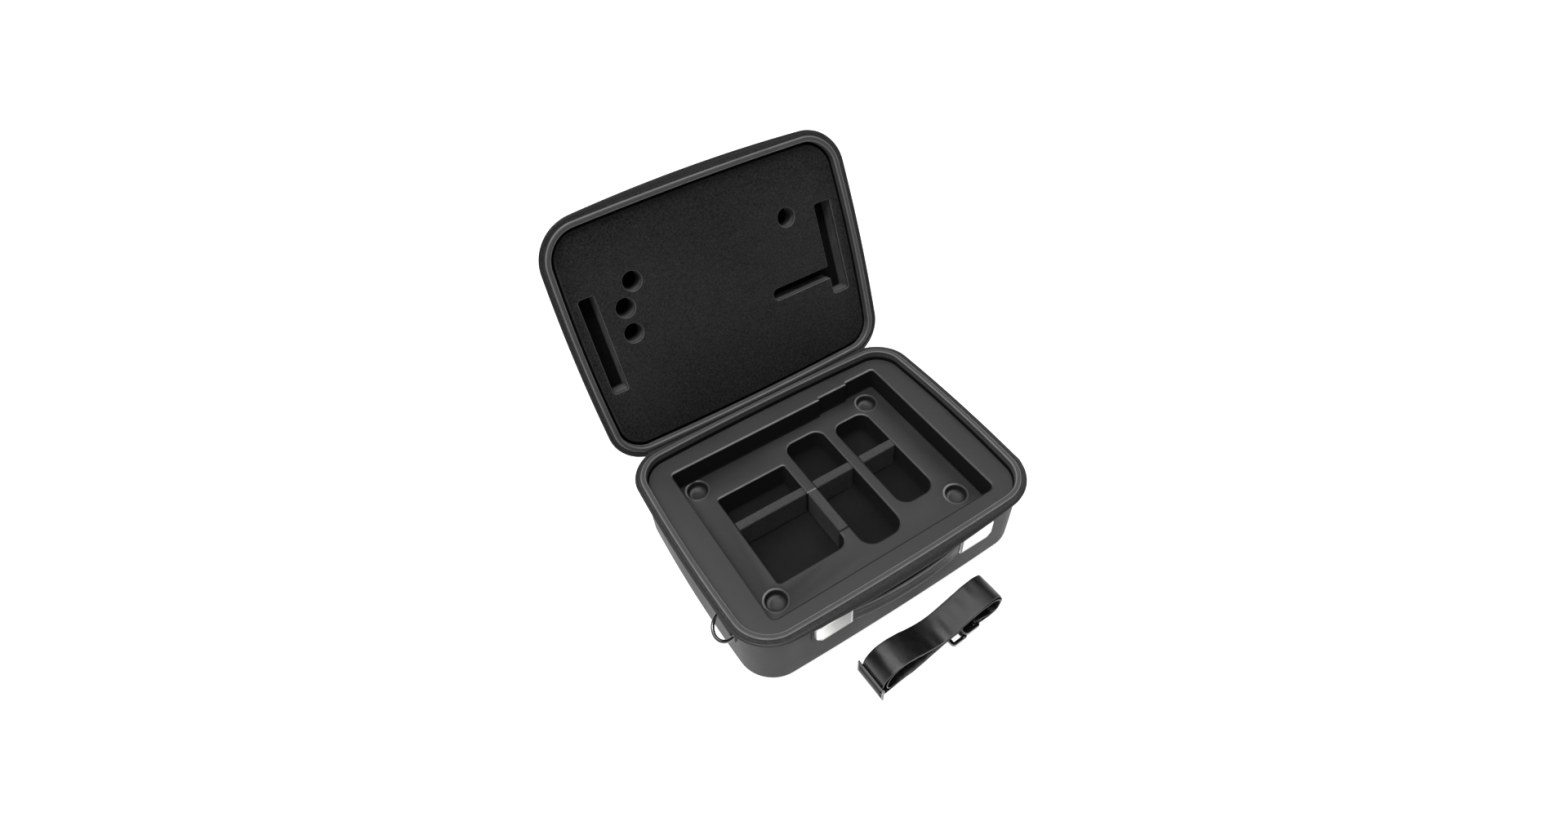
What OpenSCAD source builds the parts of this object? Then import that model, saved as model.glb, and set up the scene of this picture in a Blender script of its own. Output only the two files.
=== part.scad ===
// Zipped moulded carry case with a fitted tray, a foam-lined lid and a folded shoulder strap.
// The origin is the middle of the underside, the hinge is at the back and the handle at the front.

/* [Case] */
// Width of the case between the middles of its side rims
case_w = 350; // [290:5:420]
// Depth of the case between the middles of its front and back rims
case_d = 265; // [220:5:320]
// Height of the base rim's middle above the underside
rim_z = 95; // [84:1:116]
// Depth of the lid from its rim to its top
lid_h = 38; // [32:1:60]
// Radius of the two front corners
front_r = 36; // [24:1:50]
// Radius of the two back corners
back_r = 31; // [24:1:45]
// Outward swell of each side at its middle
side_bow = 5; // [0:0.5:8]
// Outward swell of the front at its middle
front_bow = 3.3; // [0:0.1:6]
// Outward swell of the back at its middle
back_bow = 3.8; // [0:0.1:5]
// Thickness of the moulded shells
shell_t = 4; // [3:0.5:5]
// Radius of the base's lower edge
base_edge_r = 9; // [6:1:14]
// Radius of the lid's upper edge
lid_edge_r = 14; // [8:1:20]

/* [Rim and hinge] */
// Width of the bound bead round each rim
bead_w = 6.4; // [5:0.2:7]
// Height of the bound bead
bead_h = 4; // [3:0.2:5]
// Distance between the two rims' middles when the case is shut
rim_gap = 4.3; // [4.3:0.1:6]
// Angle of the lid from shut
lid_open = 112.8; // [90:0.1:140]
// Distance of the hinge line behind the back rim's straight line
hinge_out = 7.2; // [6.6:0.1:10]
// Distance of the hinge line below the base rim
hinge_drop = 7.75; // [6:0.25:10]
// Width of the hinge strip along the case
strip_w = 196; // [160:2:196]
// Thickness of the hinge strip
strip_t = 1.1; // [0.8:0.1:1.6]

/* [Zip] */
// Reach of the zip beyond the middle of the rim
zip_out = 9; // [8:0.5:12]
// Width of one row of zip teeth
teeth_w = 3.4; // [2.5:0.1:4]
// Height of one row of zip teeth
teeth_h = 1.9; // [1.5:0.1:1.95]
// Thickness of the zip tape
tape_t = 1.2; // [0.8:0.1:1.4]
// Distance of the ends of the zip rows from the middle of the back
zip_end_x = 145; // [144:1:150]
// Distance of each parked slider from the middle of the back
slider_x = 112; // [90:1:114]
// Length of a slider
slider_l = 11; // [9:1:13]
// Length of a pull tab
pull_l = 27; // [20:1:34]

/* [Tray] */
// Drop from the rim to the tray's flange
flange_drop = 10; // [8:1:14]
// Thickness of the moulded tray
tray_t = 3.5; // [2.5:0.5:5]
// Width of the flange at the two sides, from the rim's middle
flange_side = 31; // [26:1:36]
// Width of the flange at the front, from the rim's middle
flange_front = 22.5; // [18:0.5:30]
// Width of the flange at the back, from the rim's middle
flange_back = 25.5; // [22:0.5:30]
// Depth of the tray's recess
recess_h = 32; // [24:1:36]
// Depth of the compartments below the recess floor
pocket_h = 37; // [25:1:38]
// Height of each of the two small steps in the recess's back wall
step_out = 3; // [1:0.5:3]
// Width of the middle column of compartments
mid_w = 52.5; // [40:0.5:60]
// Width of the right column of compartments
right_w = 48; // [40:0.5:60]
// Width of the ribs and foam dividers between columns
rib_w = 14; // [10:0.5:16]
// Width of the foam divider between front and back rows
bar_w = 12; // [8:0.5:16]
// Distance of the front and back rows' divider behind the middle of the case
bar_y = 24; // [10:1:30]
// Radius of the foot wells
well_r = 13; // [10:0.5:14]
// Depth of the foot wells
well_h = 6; // [4.5:0.5:8]
// Gap round each foam divider
fit_gap = 0.3; // [0.2:0.05:0.5]

/* [Lid foam] */
// Thickness of the lid's foam
foam_t = 29; // [22:1:29]
// Radius of the round holes in the lid's foam
hole_r = 11; // [8:0.5:12]
// Depth of the holes and slots in the lid's foam
hole_h = 20; // [12:1:20]
// Length of the two long slots
slot_l = 113; // [80:1:130]
// Width of the left slot
slot_w = 18; // [12:1:20]
// Width of the right slot
wide_slot_w = 22; // [14:1:24]
// Length of the cross slot beside the right slot
cross_l = 80; // [50:1:90]
// Width of the cross slot
cross_w = 14; // [10:1:16]

/* [Handle and rings] */
// Length of the grip between its caps
grip_l = 140; // [110:2:150]
// Height of the grip
grip_h = 24; // [20:1:28]
// Thickness of the grip
grip_t = 5; // [4:0.5:7]
// Outward bow of the grip at its middle
grip_bow = 6; // [3:0.5:8]
// Height of the grip's middle above the ground
grip_z = 69; // [60:1:70]
// Length of a cap
cap_l = 44; // [36:1:48]
// Height of a cap
cap_h = 29; // [27:1:32]
// Thickness of a cap's face
cap_t = 1.6; // [1.2:0.1:2]
// Outer length of a carrying ring along the case
ring_l = 34; // [28:1:40]
// Thickness of the ring's wire
wire_d = 4; // [3:0.2:4.6]
// Angle of a ring below level
ring_tilt = 35; // [0:5:60]
// Distance of the rings behind the front rim
ring_in = 44; // [38:1:80]

/* [Strap] */
// Width of the strap's webbing
web_w = 32; // [26:1:38]
// Thickness of the webbing
web_t = 1.5; // [1.2:0.1:1.5]
// Distance from the front rim to the strap's middle line
strap_front = 52; // [46:1:80]
// Turn of the strap bundle from the case's front
strap_turn = 2.3; // [0:0.1:6]
// Thickness of the slide's bars
slide_bar = 2.6; // [2:0.2:2.6]
// Thickness of a hook's bar
hook_bar = 3.5; // [3:0.1:3.5]

/* [Hidden] */

corner_n = 8;
side_n = 8;
tiny = 0.1;
gap = 0.3;
big = 900;
shell_out = 1.15;
half_w = case_w / 2;
half_d = case_d / 2;
bead_half = bead_h / 2;
lid_rim_z = rim_z + rim_gap;
hinge_y = half_d + hinge_out;
hinge_z = rim_z - hinge_drop;
shell_floor = shell_t + 0.5;

shell_grey = [0.10, 0.10, 0.10];
bead_grey = [0.30, 0.30, 0.31];
tape_black = [0.05, 0.05, 0.05];
tray_grey = [0.16, 0.16, 0.17];
foam_grey = [0.24, 0.24, 0.24];
felt_black = [0.07, 0.07, 0.07];
silver = [0.85, 0.85, 0.86];
steel = [0.35, 0.35, 0.36];
web_black = [0.09, 0.09, 0.09];

// ---- Outline of the case ----

// One corner arc, a quarter turn from angle a
function corner(cx, cy, r, a) =
    [for (i = [0:corner_n]) [cx + r * cos(a + 90 * i / corner_n), cy + r * sin(a + 90 * i / corner_n)]];

// The points strictly between two ends of a straight side
function side(p, q) = [for (i = [1:side_n - 1]) p + (q - p) * i / side_n];

// Rounded rectangle, from the front right corner round to the front left one
function plain_outline(w2, d2, rf, rb) =
    let (
        fr = corner(w2 - rf, rf - d2, rf, -90),
        br = corner(w2 - rb, d2 - rb, rb, 0),
        bl = corner(rb - w2, d2 - rb, rb, 90),
        fl = corner(rf - w2, rf - d2, rf, 180)
    )
    concat(fr, side(fr[corner_n], br[0]), br, side(br[corner_n], bl[0]),
        bl, side(bl[corner_n], fl[0]), fl, side(fl[corner_n], fr[0]));

// The sides swell outwards between the corners
function swell(p, w2, d2) =
    let (sx = p.x / w2, sy = p.y / d2)
    [p.x + sx * side_bow * (1 - sy * sy), p.y + sy * (sy < 0 ? front_bow : back_bow) * (1 - sx * sx)];

// Outline of the case, inset from the middle of the rim
function outline(inset) =
    let (w2 = half_w - inset, d2 = half_d - inset, rf = max(front_r - inset, 3), rb = max(back_r - inset, 3))
    [for (p = plain_outline(w2, d2, rf, rb)) swell(p, w2, d2)];

// Swell of the front and back walls at x
function front_swell(x) = front_bow * (1 - pow(x / (half_w + shell_out), 2));
function back_swell(x) = back_bow * (1 - pow(x / (half_w + shell_out), 2));
function side_swell(y) = side_bow * (1 - pow(y / (half_d + shell_out), 2));

// Outer faces of the walls
function front_wall(x) = -half_d - shell_out - front_swell(x);
function back_wall(x) = half_d + shell_out + back_swell(x);
function side_wall(y) = half_w + shell_out + side_swell(y);

// ---- Lofts round the outline ----

function ring_points(profile) = [for (s = profile) each [for (p = outline(s[0])) [p.x, p.y, s[1]]]];

// Faces between rows j and next(j) of an n-point ring
function row_faces(n, a, b) =
    [for (i = [0:n - 1]) let (k = (i + 1) % n)
        each [[a * n + i, a * n + k, b * n + k], [a * n + i, b * n + k, b * n + i]]];

// A cup whose profile runs from the inner floor over the rim to the underside
module cup(profile) {
    n = len(outline(0));
    m = len(profile);
    walls = [for (j = [0:m - 2]) each row_faces(n, j, j + 1)];
    inner_floor = [for (i = [0:n - 1]) n - 1 - i];
    underside = [for (i = [0:n - 1]) (m - 1) * n + i];
    polyhedron(ring_points(profile), concat(walls, [inner_floor, underside]));
}

// A closed band round the outline, from a section that goes up the inside and down the outside
module band(section) {
    n = len(outline(0));
    m = len(section);
    polyhedron(ring_points(section), [for (j = [0:m - 1]) each row_faces(n, j, (j + 1) % m)]);
}

// Profile of a shell of a given depth below its rim, whose edges are at z
function shell_profile(rim, depth, edge_r) =
    let (
        inner = shell_t - shell_out,
        inner_r = max(edge_r - shell_t, 1),
        floor_z = rim - depth + shell_floor,
        foot_z = rim - depth,
        top_z = rim - bead_half
    )
    concat(
        [for (a = [90:-22.5:0]) [inner + inner_r * (1 - cos(a)), floor_z + inner_r * (1 - sin(a))]],
        [[inner, top_z], [-shell_out, top_z]],
        [for (a = [0:15:90]) [-shell_out + edge_r * (1 - cos(a)), foot_z + edge_r * (1 - sin(a))]]
    );

// The bead is an oval that sits on the shell's edge
function bead_section(z) = [for (a = [-90:45:225]) [bead_w / 2 * cos(a), z + bead_half * sin(a)]];

// A flat ring between two insets
module flat_ring(inner, outer, z, h) {
    translate([0, 0, z])
        linear_extrude(h)
            difference() {
                polygon(outline(outer));
                polygon(outline(inner));
            }
}

// The zip runs round the front, the sides and the back corners
module zip_part() {
    difference() {
        children();
        translate([-zip_end_x, half_d - zip_out, 0]) cube([2 * zip_end_x, big, big]);
    }
}

module tape_band(z) {
    zip_part() flat_ring(-bead_w / 2 - tiny, -zip_out, z, tape_t);
}

module teeth_band(z) {
    zip_part() flat_ring(teeth_w - zip_out, -zip_out, z, teeth_h);
}

// Swings a part drawn on the shut lid to its open place
module on_lid() {
    translate([0, hinge_y, hinge_z])
        rotate([-lid_open, 0, 0])
            translate([0, -hinge_y, -hinge_z])
                children();
}

// ---- Base ----

module base_shell() {
    color(shell_grey) cup(shell_profile(rim_z, rim_z, base_edge_r));
}

module base_bead() {
    color(bead_grey) band(bead_section(rim_z));
}

module base_tape() {
    color(tape_black) tape_band(rim_z - tape_t);
}

module base_teeth() {
    color(tape_black) teeth_band(rim_z);
}

// The hinge strip runs from the base's back wall, past the hinge line, to the lid's back wall
wall_y = back_wall(0) - hinge_y;
bead_y = half_d + back_bow + bead_w / 2 - hinge_y;
lid_low = rim_gap + hinge_drop;
strip_off = tiny + strip_t / 2;

// A point out from the lid's back wall, t above the hinge line while the lid is shut
function lid_point(t, out) =
    [(wall_y + out) * cos(lid_open) + t * sin(lid_open), t * cos(lid_open) - (wall_y + out) * sin(lid_open)];

module hinge_strip() {
    past_bead = bead_y - wall_y + strip_off;
    path = [[wall_y + strip_off, -9], [wall_y + strip_off, -5], [wall_y + strip_off, -2],
        [wall_y + 2, 0.6], [2.6, 0.4], [6, -1.9], lid_point(lid_low - 2, past_bead + 0.3),
        lid_point(lid_low + 1, past_bead), lid_point(lid_low + 4.5, strip_off + 0.8),
        lid_point(lid_low + 7, strip_off), lid_point(lid_low + 13, strip_off)];
    color(tape_black)
        translate([-strip_w / 2, hinge_y, hinge_z])
            rotate([90, 0, 90])
                linear_extrude(strip_w)
                    polygon(ribbon(smooth(path, 4), strip_t));
}

// ---- Zip ends, sliders and pulls ----

tail_h = 8;
tail_t = 2.2;
tail_z = hinge_z - 6;
tail_l = 42;
slider_wall = 1.3;
slider_gap = 0.35;
slider_x_end = slider_x + tail_l - slider_l - 8;
slider_turn = atan((back_swell(slider_x) - back_swell(slider_x_end)) / (slider_x_end - slider_x));
bail_r = 0.8;
bail_gap = 0.08;
bail_out = 2.4;
pull_head_r = 2;
pull_head_w = 3.4;
pull_t = 1.4;
pull_w = 7;

// The joined ends of the zip lie flat on the back wall below the rim
module zip_tails() {
    color(tape_black)
        for (s = [-1, 1])
            intersection() {
                flat_ring(-shell_out - tiny, -shell_out - tail_t, tail_z - tail_h / 2, tail_h);
                translate([s > 0 ? slider_x - slider_l / 2 - 5 : -slider_x + slider_l / 2 + 5 - tail_l, 0, 0])
                    cube([tail_l, big, big]);
            }
}

// Places a part in the frame of a parked slider, whose y points out of the back wall
module at_slider(s) {
    translate([s * slider_x, back_wall(slider_x) + tail_t, tail_z])
        rotate([0, 0, -s * slider_turn])
            children();
}

// The slider lies over its row with a lip at each edge, and carries the pull on a bail
module slider_shape() {
    plate_y = slider_gap;
    lip_h = tail_h / 2 + slider_gap;
    difference() {
        translate([-slider_l / 2, plate_y - 1.6, -lip_h - slider_wall])
            cube([slider_l, slider_wall + 1.6, 2 * (lip_h + slider_wall)]);
        translate([-slider_l, plate_y - 4, -lip_h]) cube([2 * slider_l, 4, 2 * lip_h]);
    }
    for (x = [-1, 1])
        translate([x * (pull_head_w / 2 + 0.75) - 0.5, plate_y + slider_wall - tiny, -1.6])
            cube([1, bail_out + 1.2, 3.2]);
    translate([-pull_head_w / 2 - 0.75, plate_y + slider_wall + bail_out, 0])
        rotate([0, 90, 0])
            cylinder(h = pull_head_w + 1.5, r = bail_r, $fn = 32);
}

// The pull hangs from the bail
module pull_shape() {
    head_y = slider_gap + slider_wall + bail_out;
    difference() {
        union() {
            translate([-pull_head_w / 2, head_y, 0])
                rotate([0, 90, 0])
                    cylinder(h = pull_head_w, r = pull_head_r, $fn = 40);
            translate([-pull_head_w / 2, head_y - pull_t / 2, -7]) cube([pull_head_w, pull_t, 6]);
            translate([0, head_y + pull_t / 2, -6])
                rotate([90, 0, 0])
                    linear_extrude(pull_t)
                        polygon(rounded_box(-pull_w / 2, 6 - pull_l, pull_w / 2, 0, [3, 3, 2, 2]));
        }
        translate([-pull_w, head_y, 0])
            rotate([0, 90, 0]) cylinder(h = 2 * pull_w, r = bail_r + bail_gap, $fn = 32);
        translate([0, head_y + pull_t, 6 - pull_l + 1.2])
            rotate([90, 0, 0]) cylinder(h = 2 * pull_t, r = 1.5, $fn = 24);
    }
}

module slider_left() { color(steel) at_slider(-1) slider_shape(); }
module slider_right() { color(steel) at_slider(1) slider_shape(); }
module pull_left() { color(steel) at_slider(-1) pull_shape(); }
module pull_right() { color(steel) at_slider(1) pull_shape(); }

// ---- Tray and dividers ----

// Box with its own radius at each corner: front left, front right, back right, back left
function rounded_box(x0, y0, x1, y1, r) =
    let (n = 6, c = [[x0, y0, 1, 1, 180], [x1, y0, -1, 1, 270], [x1, y1, -1, -1, 0], [x0, y1, 1, -1, 90]])
    [for (i = [0:3]) for (k = [0:n])
        [c[i][0] + c[i][2] * r[i] + r[i] * cos(c[i][4] + 90 * k / n),
         c[i][1] + c[i][3] * r[i] + r[i] * sin(c[i][4] + 90 * k / n)]];

flange_z = rim_z - flange_drop;
recess_z = flange_z - recess_h;
pocket_z = recess_z - pocket_h;
recess_x = half_w - flange_side;
recess_front = -half_d + flange_front;
recess_back = half_d - flange_back;
recess_r = 7;
step_x = [60, 102];
skirt_in = shell_t - shell_out + 0.6;
foot_gap = 0.3;

column_side = 35;
left_x0 = column_side - recess_x;
right_x1 = recess_x - column_side + 1;
right_x0 = right_x1 - right_w;
mid_x1 = right_x0 - rib_w;
mid_x0 = mid_x1 - mid_w;
left_x1 = mid_x0 - rib_w;

// Front and back ends of the three columns, from the recess's front and back
left_y = [recess_front + 47, recess_back - 38];
mid_y = [recess_front + 30, recess_back - 15];
right_y = [recess_front + 53, recess_back - 23];
stub_l = 18;
front_gap_y = [left_y[0] + stub_l, bar_y - bar_w / 2];

sharp = 3;
// Each compartment column: its box and its corner radii
columns = [
    [left_x0, left_y[0], left_x1, left_y[1], [4, 12, sharp, sharp]],
    [mid_x0, mid_y[0], mid_x1, mid_y[1], [17, 17, 13, 13]],
    [right_x0, right_y[0], right_x1, right_y[1], [15, 15, 13, 13]]];
wells = [for (x = [-1, 1]) for (y = [recess_front + 32, recess_back - 13.5]) [x * (recess_x - 22.5), y]];

function grown_box(c, g) = rounded_box(c[0] - g, c[1] - g, c[2] + g, c[3] + g, [for (r = c[4]) r + g]);

// The recess, whose back wall steps out twice towards the right
module recess_plan(g) {
    polygon(rounded_box(-recess_x - g, recess_front - g, recess_x + g, recess_back + g,
                        [recess_r, recess_r, 2, 4]));
    for (i = [0, 1])
        polygon(rounded_box(step_x[i] - g, 0, recess_x + g, recess_back + (i + 1) * step_out + g,
                            [0.1, 0.1, 4, 2]));
}

module front_gap_plan(g) {
    translate([left_x1 - 1, front_gap_y[0] - g])
        square([rib_w + 2, front_gap_y[1] - front_gap_y[0] + 2 * g]);
}

module lift(z, h) { translate([0, 0, z]) linear_extrude(h) children(); }

// A moulded sheet: flange, recess and compartments, with a skirt that stands on the base's floor
module tray() {
    skirt_z = shell_floor + foot_gap;
    color(tray_grey)
        difference() {
            union() {
                lift(flange_z - tray_t, tray_t) polygon(outline(skirt_in));
                flat_ring(skirt_in + tray_t, skirt_in, skirt_z + base_edge_r - shell_t,
                          flange_z - skirt_z - 8);
                lift(recess_z - tray_t, recess_h + tray_t) recess_plan(tray_t);
                for (c = columns) lift(pocket_z - tray_t, pocket_h + tray_t) polygon(grown_box(c, tray_t));
                lift(pocket_z - tray_t, pocket_h + tray_t) front_gap_plan(tray_t);
                for (c = columns)
                    lift(skirt_z, pocket_z - skirt_z)
                        translate([(c[0] + c[2]) / 2 - 8, (c[1] + c[3]) / 2 - 12]) square([16, 24]);
                for (w = wells) translate([w.x, w.y, recess_z - well_h - tray_t])
                    cylinder(h = well_h + tray_t, r = well_r + tray_t, $fn = 64);
            }
            lift(recess_z, recess_h + 1) recess_plan(0);
            for (c = columns) lift(pocket_z, pocket_h + 1) polygon(grown_box(c, 0));
            lift(pocket_z, pocket_h + 1) front_gap_plan(0);
            for (w = wells) translate([w.x, w.y, recess_z - well_h])
                cylinder(h = well_h + tiny, r = well_r, $fn = 64);
        }
}

// A foam divider fills its slot but for a gap all round, and stands on the compartment's floor
module divider(x0, x1, y0, y1) {
    color(foam_grey)
        translate([x0 + fit_gap, y0 + fit_gap, pocket_z + fit_gap])
            cube([x1 - x0 - 2 * fit_gap, y1 - y0 - 2 * fit_gap, pocket_h - fit_gap]);
}

module divider_left() { divider(left_x0, left_x1, bar_y - bar_w / 2, bar_y + bar_w / 2); }
module divider_mid() { divider(mid_x0, mid_x1, bar_y - bar_w / 2, bar_y + bar_w / 2); }
module divider_right() { divider(right_x0, right_x1, bar_y - bar_w / 2, bar_y + bar_w / 2); }
module divider_front() { divider(left_x1 + 0.5, mid_x0 - 0.5, front_gap_y[0], front_gap_y[1]); }

// ---- Lid ----

module lid_shell() {
    color(shell_grey)
        on_lid()
            translate([0, 0, lid_rim_z])
                mirror([0, 0, 1])
                    cup(shell_profile(0, lid_h, lid_edge_r));
}

module lid_bead() {
    color(bead_grey) on_lid() band(bead_section(lid_rim_z));
}

module lid_tape() {
    color(tape_black) on_lid() tape_band(lid_rim_z);
}

module lid_teeth() {
    color(tape_black) on_lid() teeth_band(lid_rim_z - teeth_h);
}

foam_in = 6.5;
slot_side = 13;
wide_slot_side = 15;
right_hole_side = 76;
left_hole_y = [-0.9, -30.7, -55.5];
left_hole_x = [58.6, 59.4, 76.3];
right_hole_y = -57;
cross_y = 26;

// The foam fills the lid, with blind holes and slots open towards the tray
module lid_foam() {
    foam_z = lid_rim_z + lid_h - shell_floor - foam_t - tiny;
    cut = hole_h + 1;
    color(felt_black)
        on_lid()
            translate([0, 0, foam_z])
                difference() {
                    union() {
                        linear_extrude(foam_t - lid_edge_r + shell_t) polygon(outline(foam_in));
                        linear_extrude(foam_t) polygon(outline(foam_in + lid_edge_r - shell_t));
                    }
                    for (i = [0:2])
                        translate([left_hole_x[i] - half_w, left_hole_y[i], -1])
                            cylinder(h = cut, r = hole_r, $fn = 48);
                    translate([half_w - right_hole_side, right_hole_y, -1])
                        cylinder(h = cut, r = hole_r, $fn = 48);
                    translate([slot_side - half_w, -slot_l / 2, -1]) cube([slot_w, slot_l, cut]);
                    translate([half_w - wide_slot_side - wide_slot_w, -slot_l / 2 - 2, -1])
                        cube([wide_slot_w, slot_l, cut]);
                    translate([half_w - wide_slot_side - wide_slot_w - cross_l, cross_y - cross_w / 2, -1]) {
                        translate([cross_w / 2, 0, 0]) cube([cross_l, cross_w, cut]);
                        translate([cross_w / 2, cross_w / 2, 0]) cylinder(h = cut, r = cross_w / 2, $fn = 48);
                    }
                }
}

// ---- Handle ----

pad_t = 1.2;
cap_y = 5.6;
cap_z = grip_z + 2;
tongue_t = 3;
tongue_h = 18;
tongue_l = cap_l - 8;
pad_face = front_wall(grip_l / 2) - tiny - pad_t;
grip_y = pad_face - gap - tongue_t / 2;

// Pads follow the front wall behind the caps
module handle_pads() {
    color(tape_black)
        for (s = [-1, 1])
            intersection() {
                flat_ring(-shell_out - tiny, -shell_out - tiny - pad_t, cap_z - cap_h / 2 - 1, cap_h + 2);
                translate([s > 0 ? grip_l / 2 + 1 : -grip_l / 2 - cap_l - 2, -big, 0])
                    cube([cap_l + 1, big, big]);
            }
}

// A cap is a shallow tray over the end of the grip, open towards the grip and the wall
module cap(s) {
    face_y = pad_face - tiny - cap_y;
    side = cap_t + 0.2;
    color(silver)
        translate([s * (grip_l / 2 + cap_l / 2), face_y, cap_z])
            mirror([s < 0 ? 1 : 0, 0, 0])
                difference() {
                    translate([0, cap_y, 0])
                        rotate([90, 0, 0])
                            linear_extrude(cap_y)
                                polygon([[-cap_l / 2, -cap_h / 2], [cap_l / 2 - 6, -cap_h / 2],
                                    [cap_l / 2, 7 - cap_h / 2], [cap_l / 2, cap_h / 2 - 4],
                                    [cap_l / 2 - 3, cap_h / 2], [-cap_l / 2, cap_h / 2]]);
                    translate([-cap_l / 2 - 1, cap_t, side - cap_h / 2])
                        cube([cap_l - 5, cap_y, cap_h - 2 * side]);
                }
}

module cap_left() { cap(-1); }
module cap_right() { cap(1); }

// The band's ends are fixed under the caps
module grip_end(s) {
    color(tape_black)
        translate([s > 0 ? grip_l / 2 : -grip_l / 2 - tongue_l, grip_y - tongue_t / 2,
                   grip_z - tongue_h / 2 + 1])
            cube([tongue_l, tongue_t, tongue_h]);
}

module grip_end_left() { grip_end(-1); }
module grip_end_right() { grip_end(1); }

// The band between the caps bows away from the wall
module grip() {
    n = 24;
    x_end = grip_l / 2 - 1;
    path = [for (i = [0:n]) let (x = x_end * (2 * i / n - 1))
        [x, grip_y - grip_bow * (1 - pow(x / x_end, 2))]];
    color(tape_black)
        translate([0, 0, grip_z - 2 - grip_h / 2])
            linear_extrude(grip_h)
                polygon(ribbon(path, grip_t));
}

// ---- Carrying rings ----

ring_y = -half_d + ring_in;
ring_z = rim_z - 9;
ring_corner = 2.5;
ring_arc = ring_l / 2 - wire_d / 2;
ring_bore = wire_d / 2 + 0.08;
tab_t = 1.5;
tab_w = ring_l - wire_d - 2 * ring_corner - 1;
tab_drop = 20;
ring_x = side_wall(ring_y + tab_w / 2) + tiny + tab_t + ring_bore;

// Places a part at a ring's bar, with x pointing out of the side wall
module at_ring(s) {
    translate([s * ring_x, ring_y, ring_z])
        mirror([s < 0 ? 1 : 0, 0, 0])
            children();
}

// A folded tab of webbing holds the ring's bar and hangs down the wall
module tab_shape() {
    rotate([90, 0, 0])
        translate([0, 0, -tab_w / 2])
            difference() {
                union() {
                    cylinder(h = tab_w, r = ring_bore + tab_t, $fn = 48);
                    translate([-ring_bore - tab_t, -tab_drop, 0]) cube([2 * tab_t, tab_drop, tab_w]);
                }
                translate([0, 0, -1]) cylinder(h = tab_w + 2, r = ring_bore, $fn = 48);
            }
}

module tab_left() { color(tape_black) at_ring(-1) tab_shape(); }
module tab_right() { color(tape_black) at_ring(1) tab_shape(); }

// A ring has a straight bar, two rounded corners and a half-round bow
module ring_shape() {
    bar_l = 2 * (ring_arc - ring_corner);
    rotate([0, ring_tilt, 0]) {
        translate([0, bar_l / 2, 0]) rotate([90, 0, 0]) cylinder(h = bar_l, r = wire_d / 2, $fn = 32);
        for (s = [-1, 1])
            translate([ring_corner, s * bar_l / 2, 0])
                rotate([0, 0, s > 0 ? 90 : 180])
                    rotate_extrude(angle = 90, $fn = 48)
                        translate([ring_corner, 0]) circle(r = wire_d / 2, $fn = 24);
        translate([ring_corner, 0, 0])
            rotate([0, 0, -90])
                rotate_extrude(angle = 180, $fn = 96)
                    translate([ring_arc, 0]) circle(r = wire_d / 2, $fn = 24);
    }
}

module ring_left() { color(steel) at_ring(-1) ring_shape(); }
module ring_right() { color(steel) at_ring(1) ring_shape(); }

// ---- Strap ----

slide_x = -79.5;
slide_z = [4, 12.5, 21];
slide_off = 2.75;
slide_w = web_w + 9;
wrap_r = 2.8;
low_bar = [34, 4.2];
high_bar = [51, 10.5];

// Points strictly inside the curve between b and c, with a and d as its neighbours
function curve_part(a, b, c, d, n) =
    [for (i = [0:n - 1]) let (t = i / n)
        0.5 * (2 * b + (c - a) * t + (2 * a - 5 * b + 4 * c - d) * t * t
               + (3 * b - a - 3 * c + d) * t * t * t)];

// A smooth curve through the points of p, with n steps from each to the next
function smooth(p, n) =
    let (m = len(p) - 1)
    concat([for (i = [0:m - 1])
        each curve_part(p[max(i - 1, 0)], p[i], p[i + 1], p[min(i + 2, m)], n)], [p[m]]);

// The outline of a band of thickness t along the curve p
function band_side(p, t) =
    let (m = len(p) - 1)
    [for (i = [0:m]) let (d = p[min(i + 1, m)] - p[max(i - 1, 0)]) p[i] + t / 2 / norm(d) * [-d.y, d.x]];
function ribbon(p, t) =
    let (a = band_side(p, t), b = band_side(p, -t), m = len(p) - 1)
    concat(a, [for (i = [m:-1:0]) b[i]]);

// A half turn round a bar, from its lower side over its left to its upper side
function bar_wrap(c) = [for (a = [-90:-30:-270]) c + wrap_r * [cos(a), sin(a)]];

low_end = concat([[low_bar.x + 9, 1.5], [low_bar.x + 4, 1.4]], bar_wrap(low_bar));
high_end = concat([[high_bar.x + 9, 7.9], [high_bar.x + 4, 7.7]], bar_wrap(high_bar));
right_outer = [[39, 6.5], [46, 5.2], [52, 4.3], [60, 3], [68, 1.6], [76, 0.9], [82, 2.2], [86.3, 7.5],
    [88, 16],
    [87, 25], [82, 33.4], [74, 38], [65, 39], [54, 37.8], [40, 34.6], [25, 31], [12, 28.7], [5, 28.1]];
left_outer = [[-4, 28.8], [-16, 31.6], [-30, 37], [-43, 41], [-55, 42], [-65, 39], [-72, 32.5], [-75.8, 26],
    [slide_x + slide_off, slide_z[2]], [slide_x - slide_off, slide_z[1]], [slide_x + slide_off, slide_z[0]],
    [-73.4, 1.3], [-66, 0.85], [-55, 0.8], [-43, 0.8], [-33, 1.3], [-22, 4.2], [-12, 8.2], [0, 12.4]];
fold = [[7, 14.9], [14, 16.6], [22, 17.5], [28, 18.2], [30.7, 20.4], [28, 22.5], [22, 22.2], [12, 21.4],
    [4, 20.2]];
left_inner = [[-5, 18], [-15, 14.2], [-26, 9], [-37, 5.4], [-48, 3.9], [-58, 3.9], [-66, 5.6], [-70.4, 11.5],
    [-70.8, 19.5], [-67.4, 28], [-60.5, 34], [-52, 36], [-42, 35], [-30, 31.6], [-16, 27.3], [-4, 25.4],
    [5, 25.2]];
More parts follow.
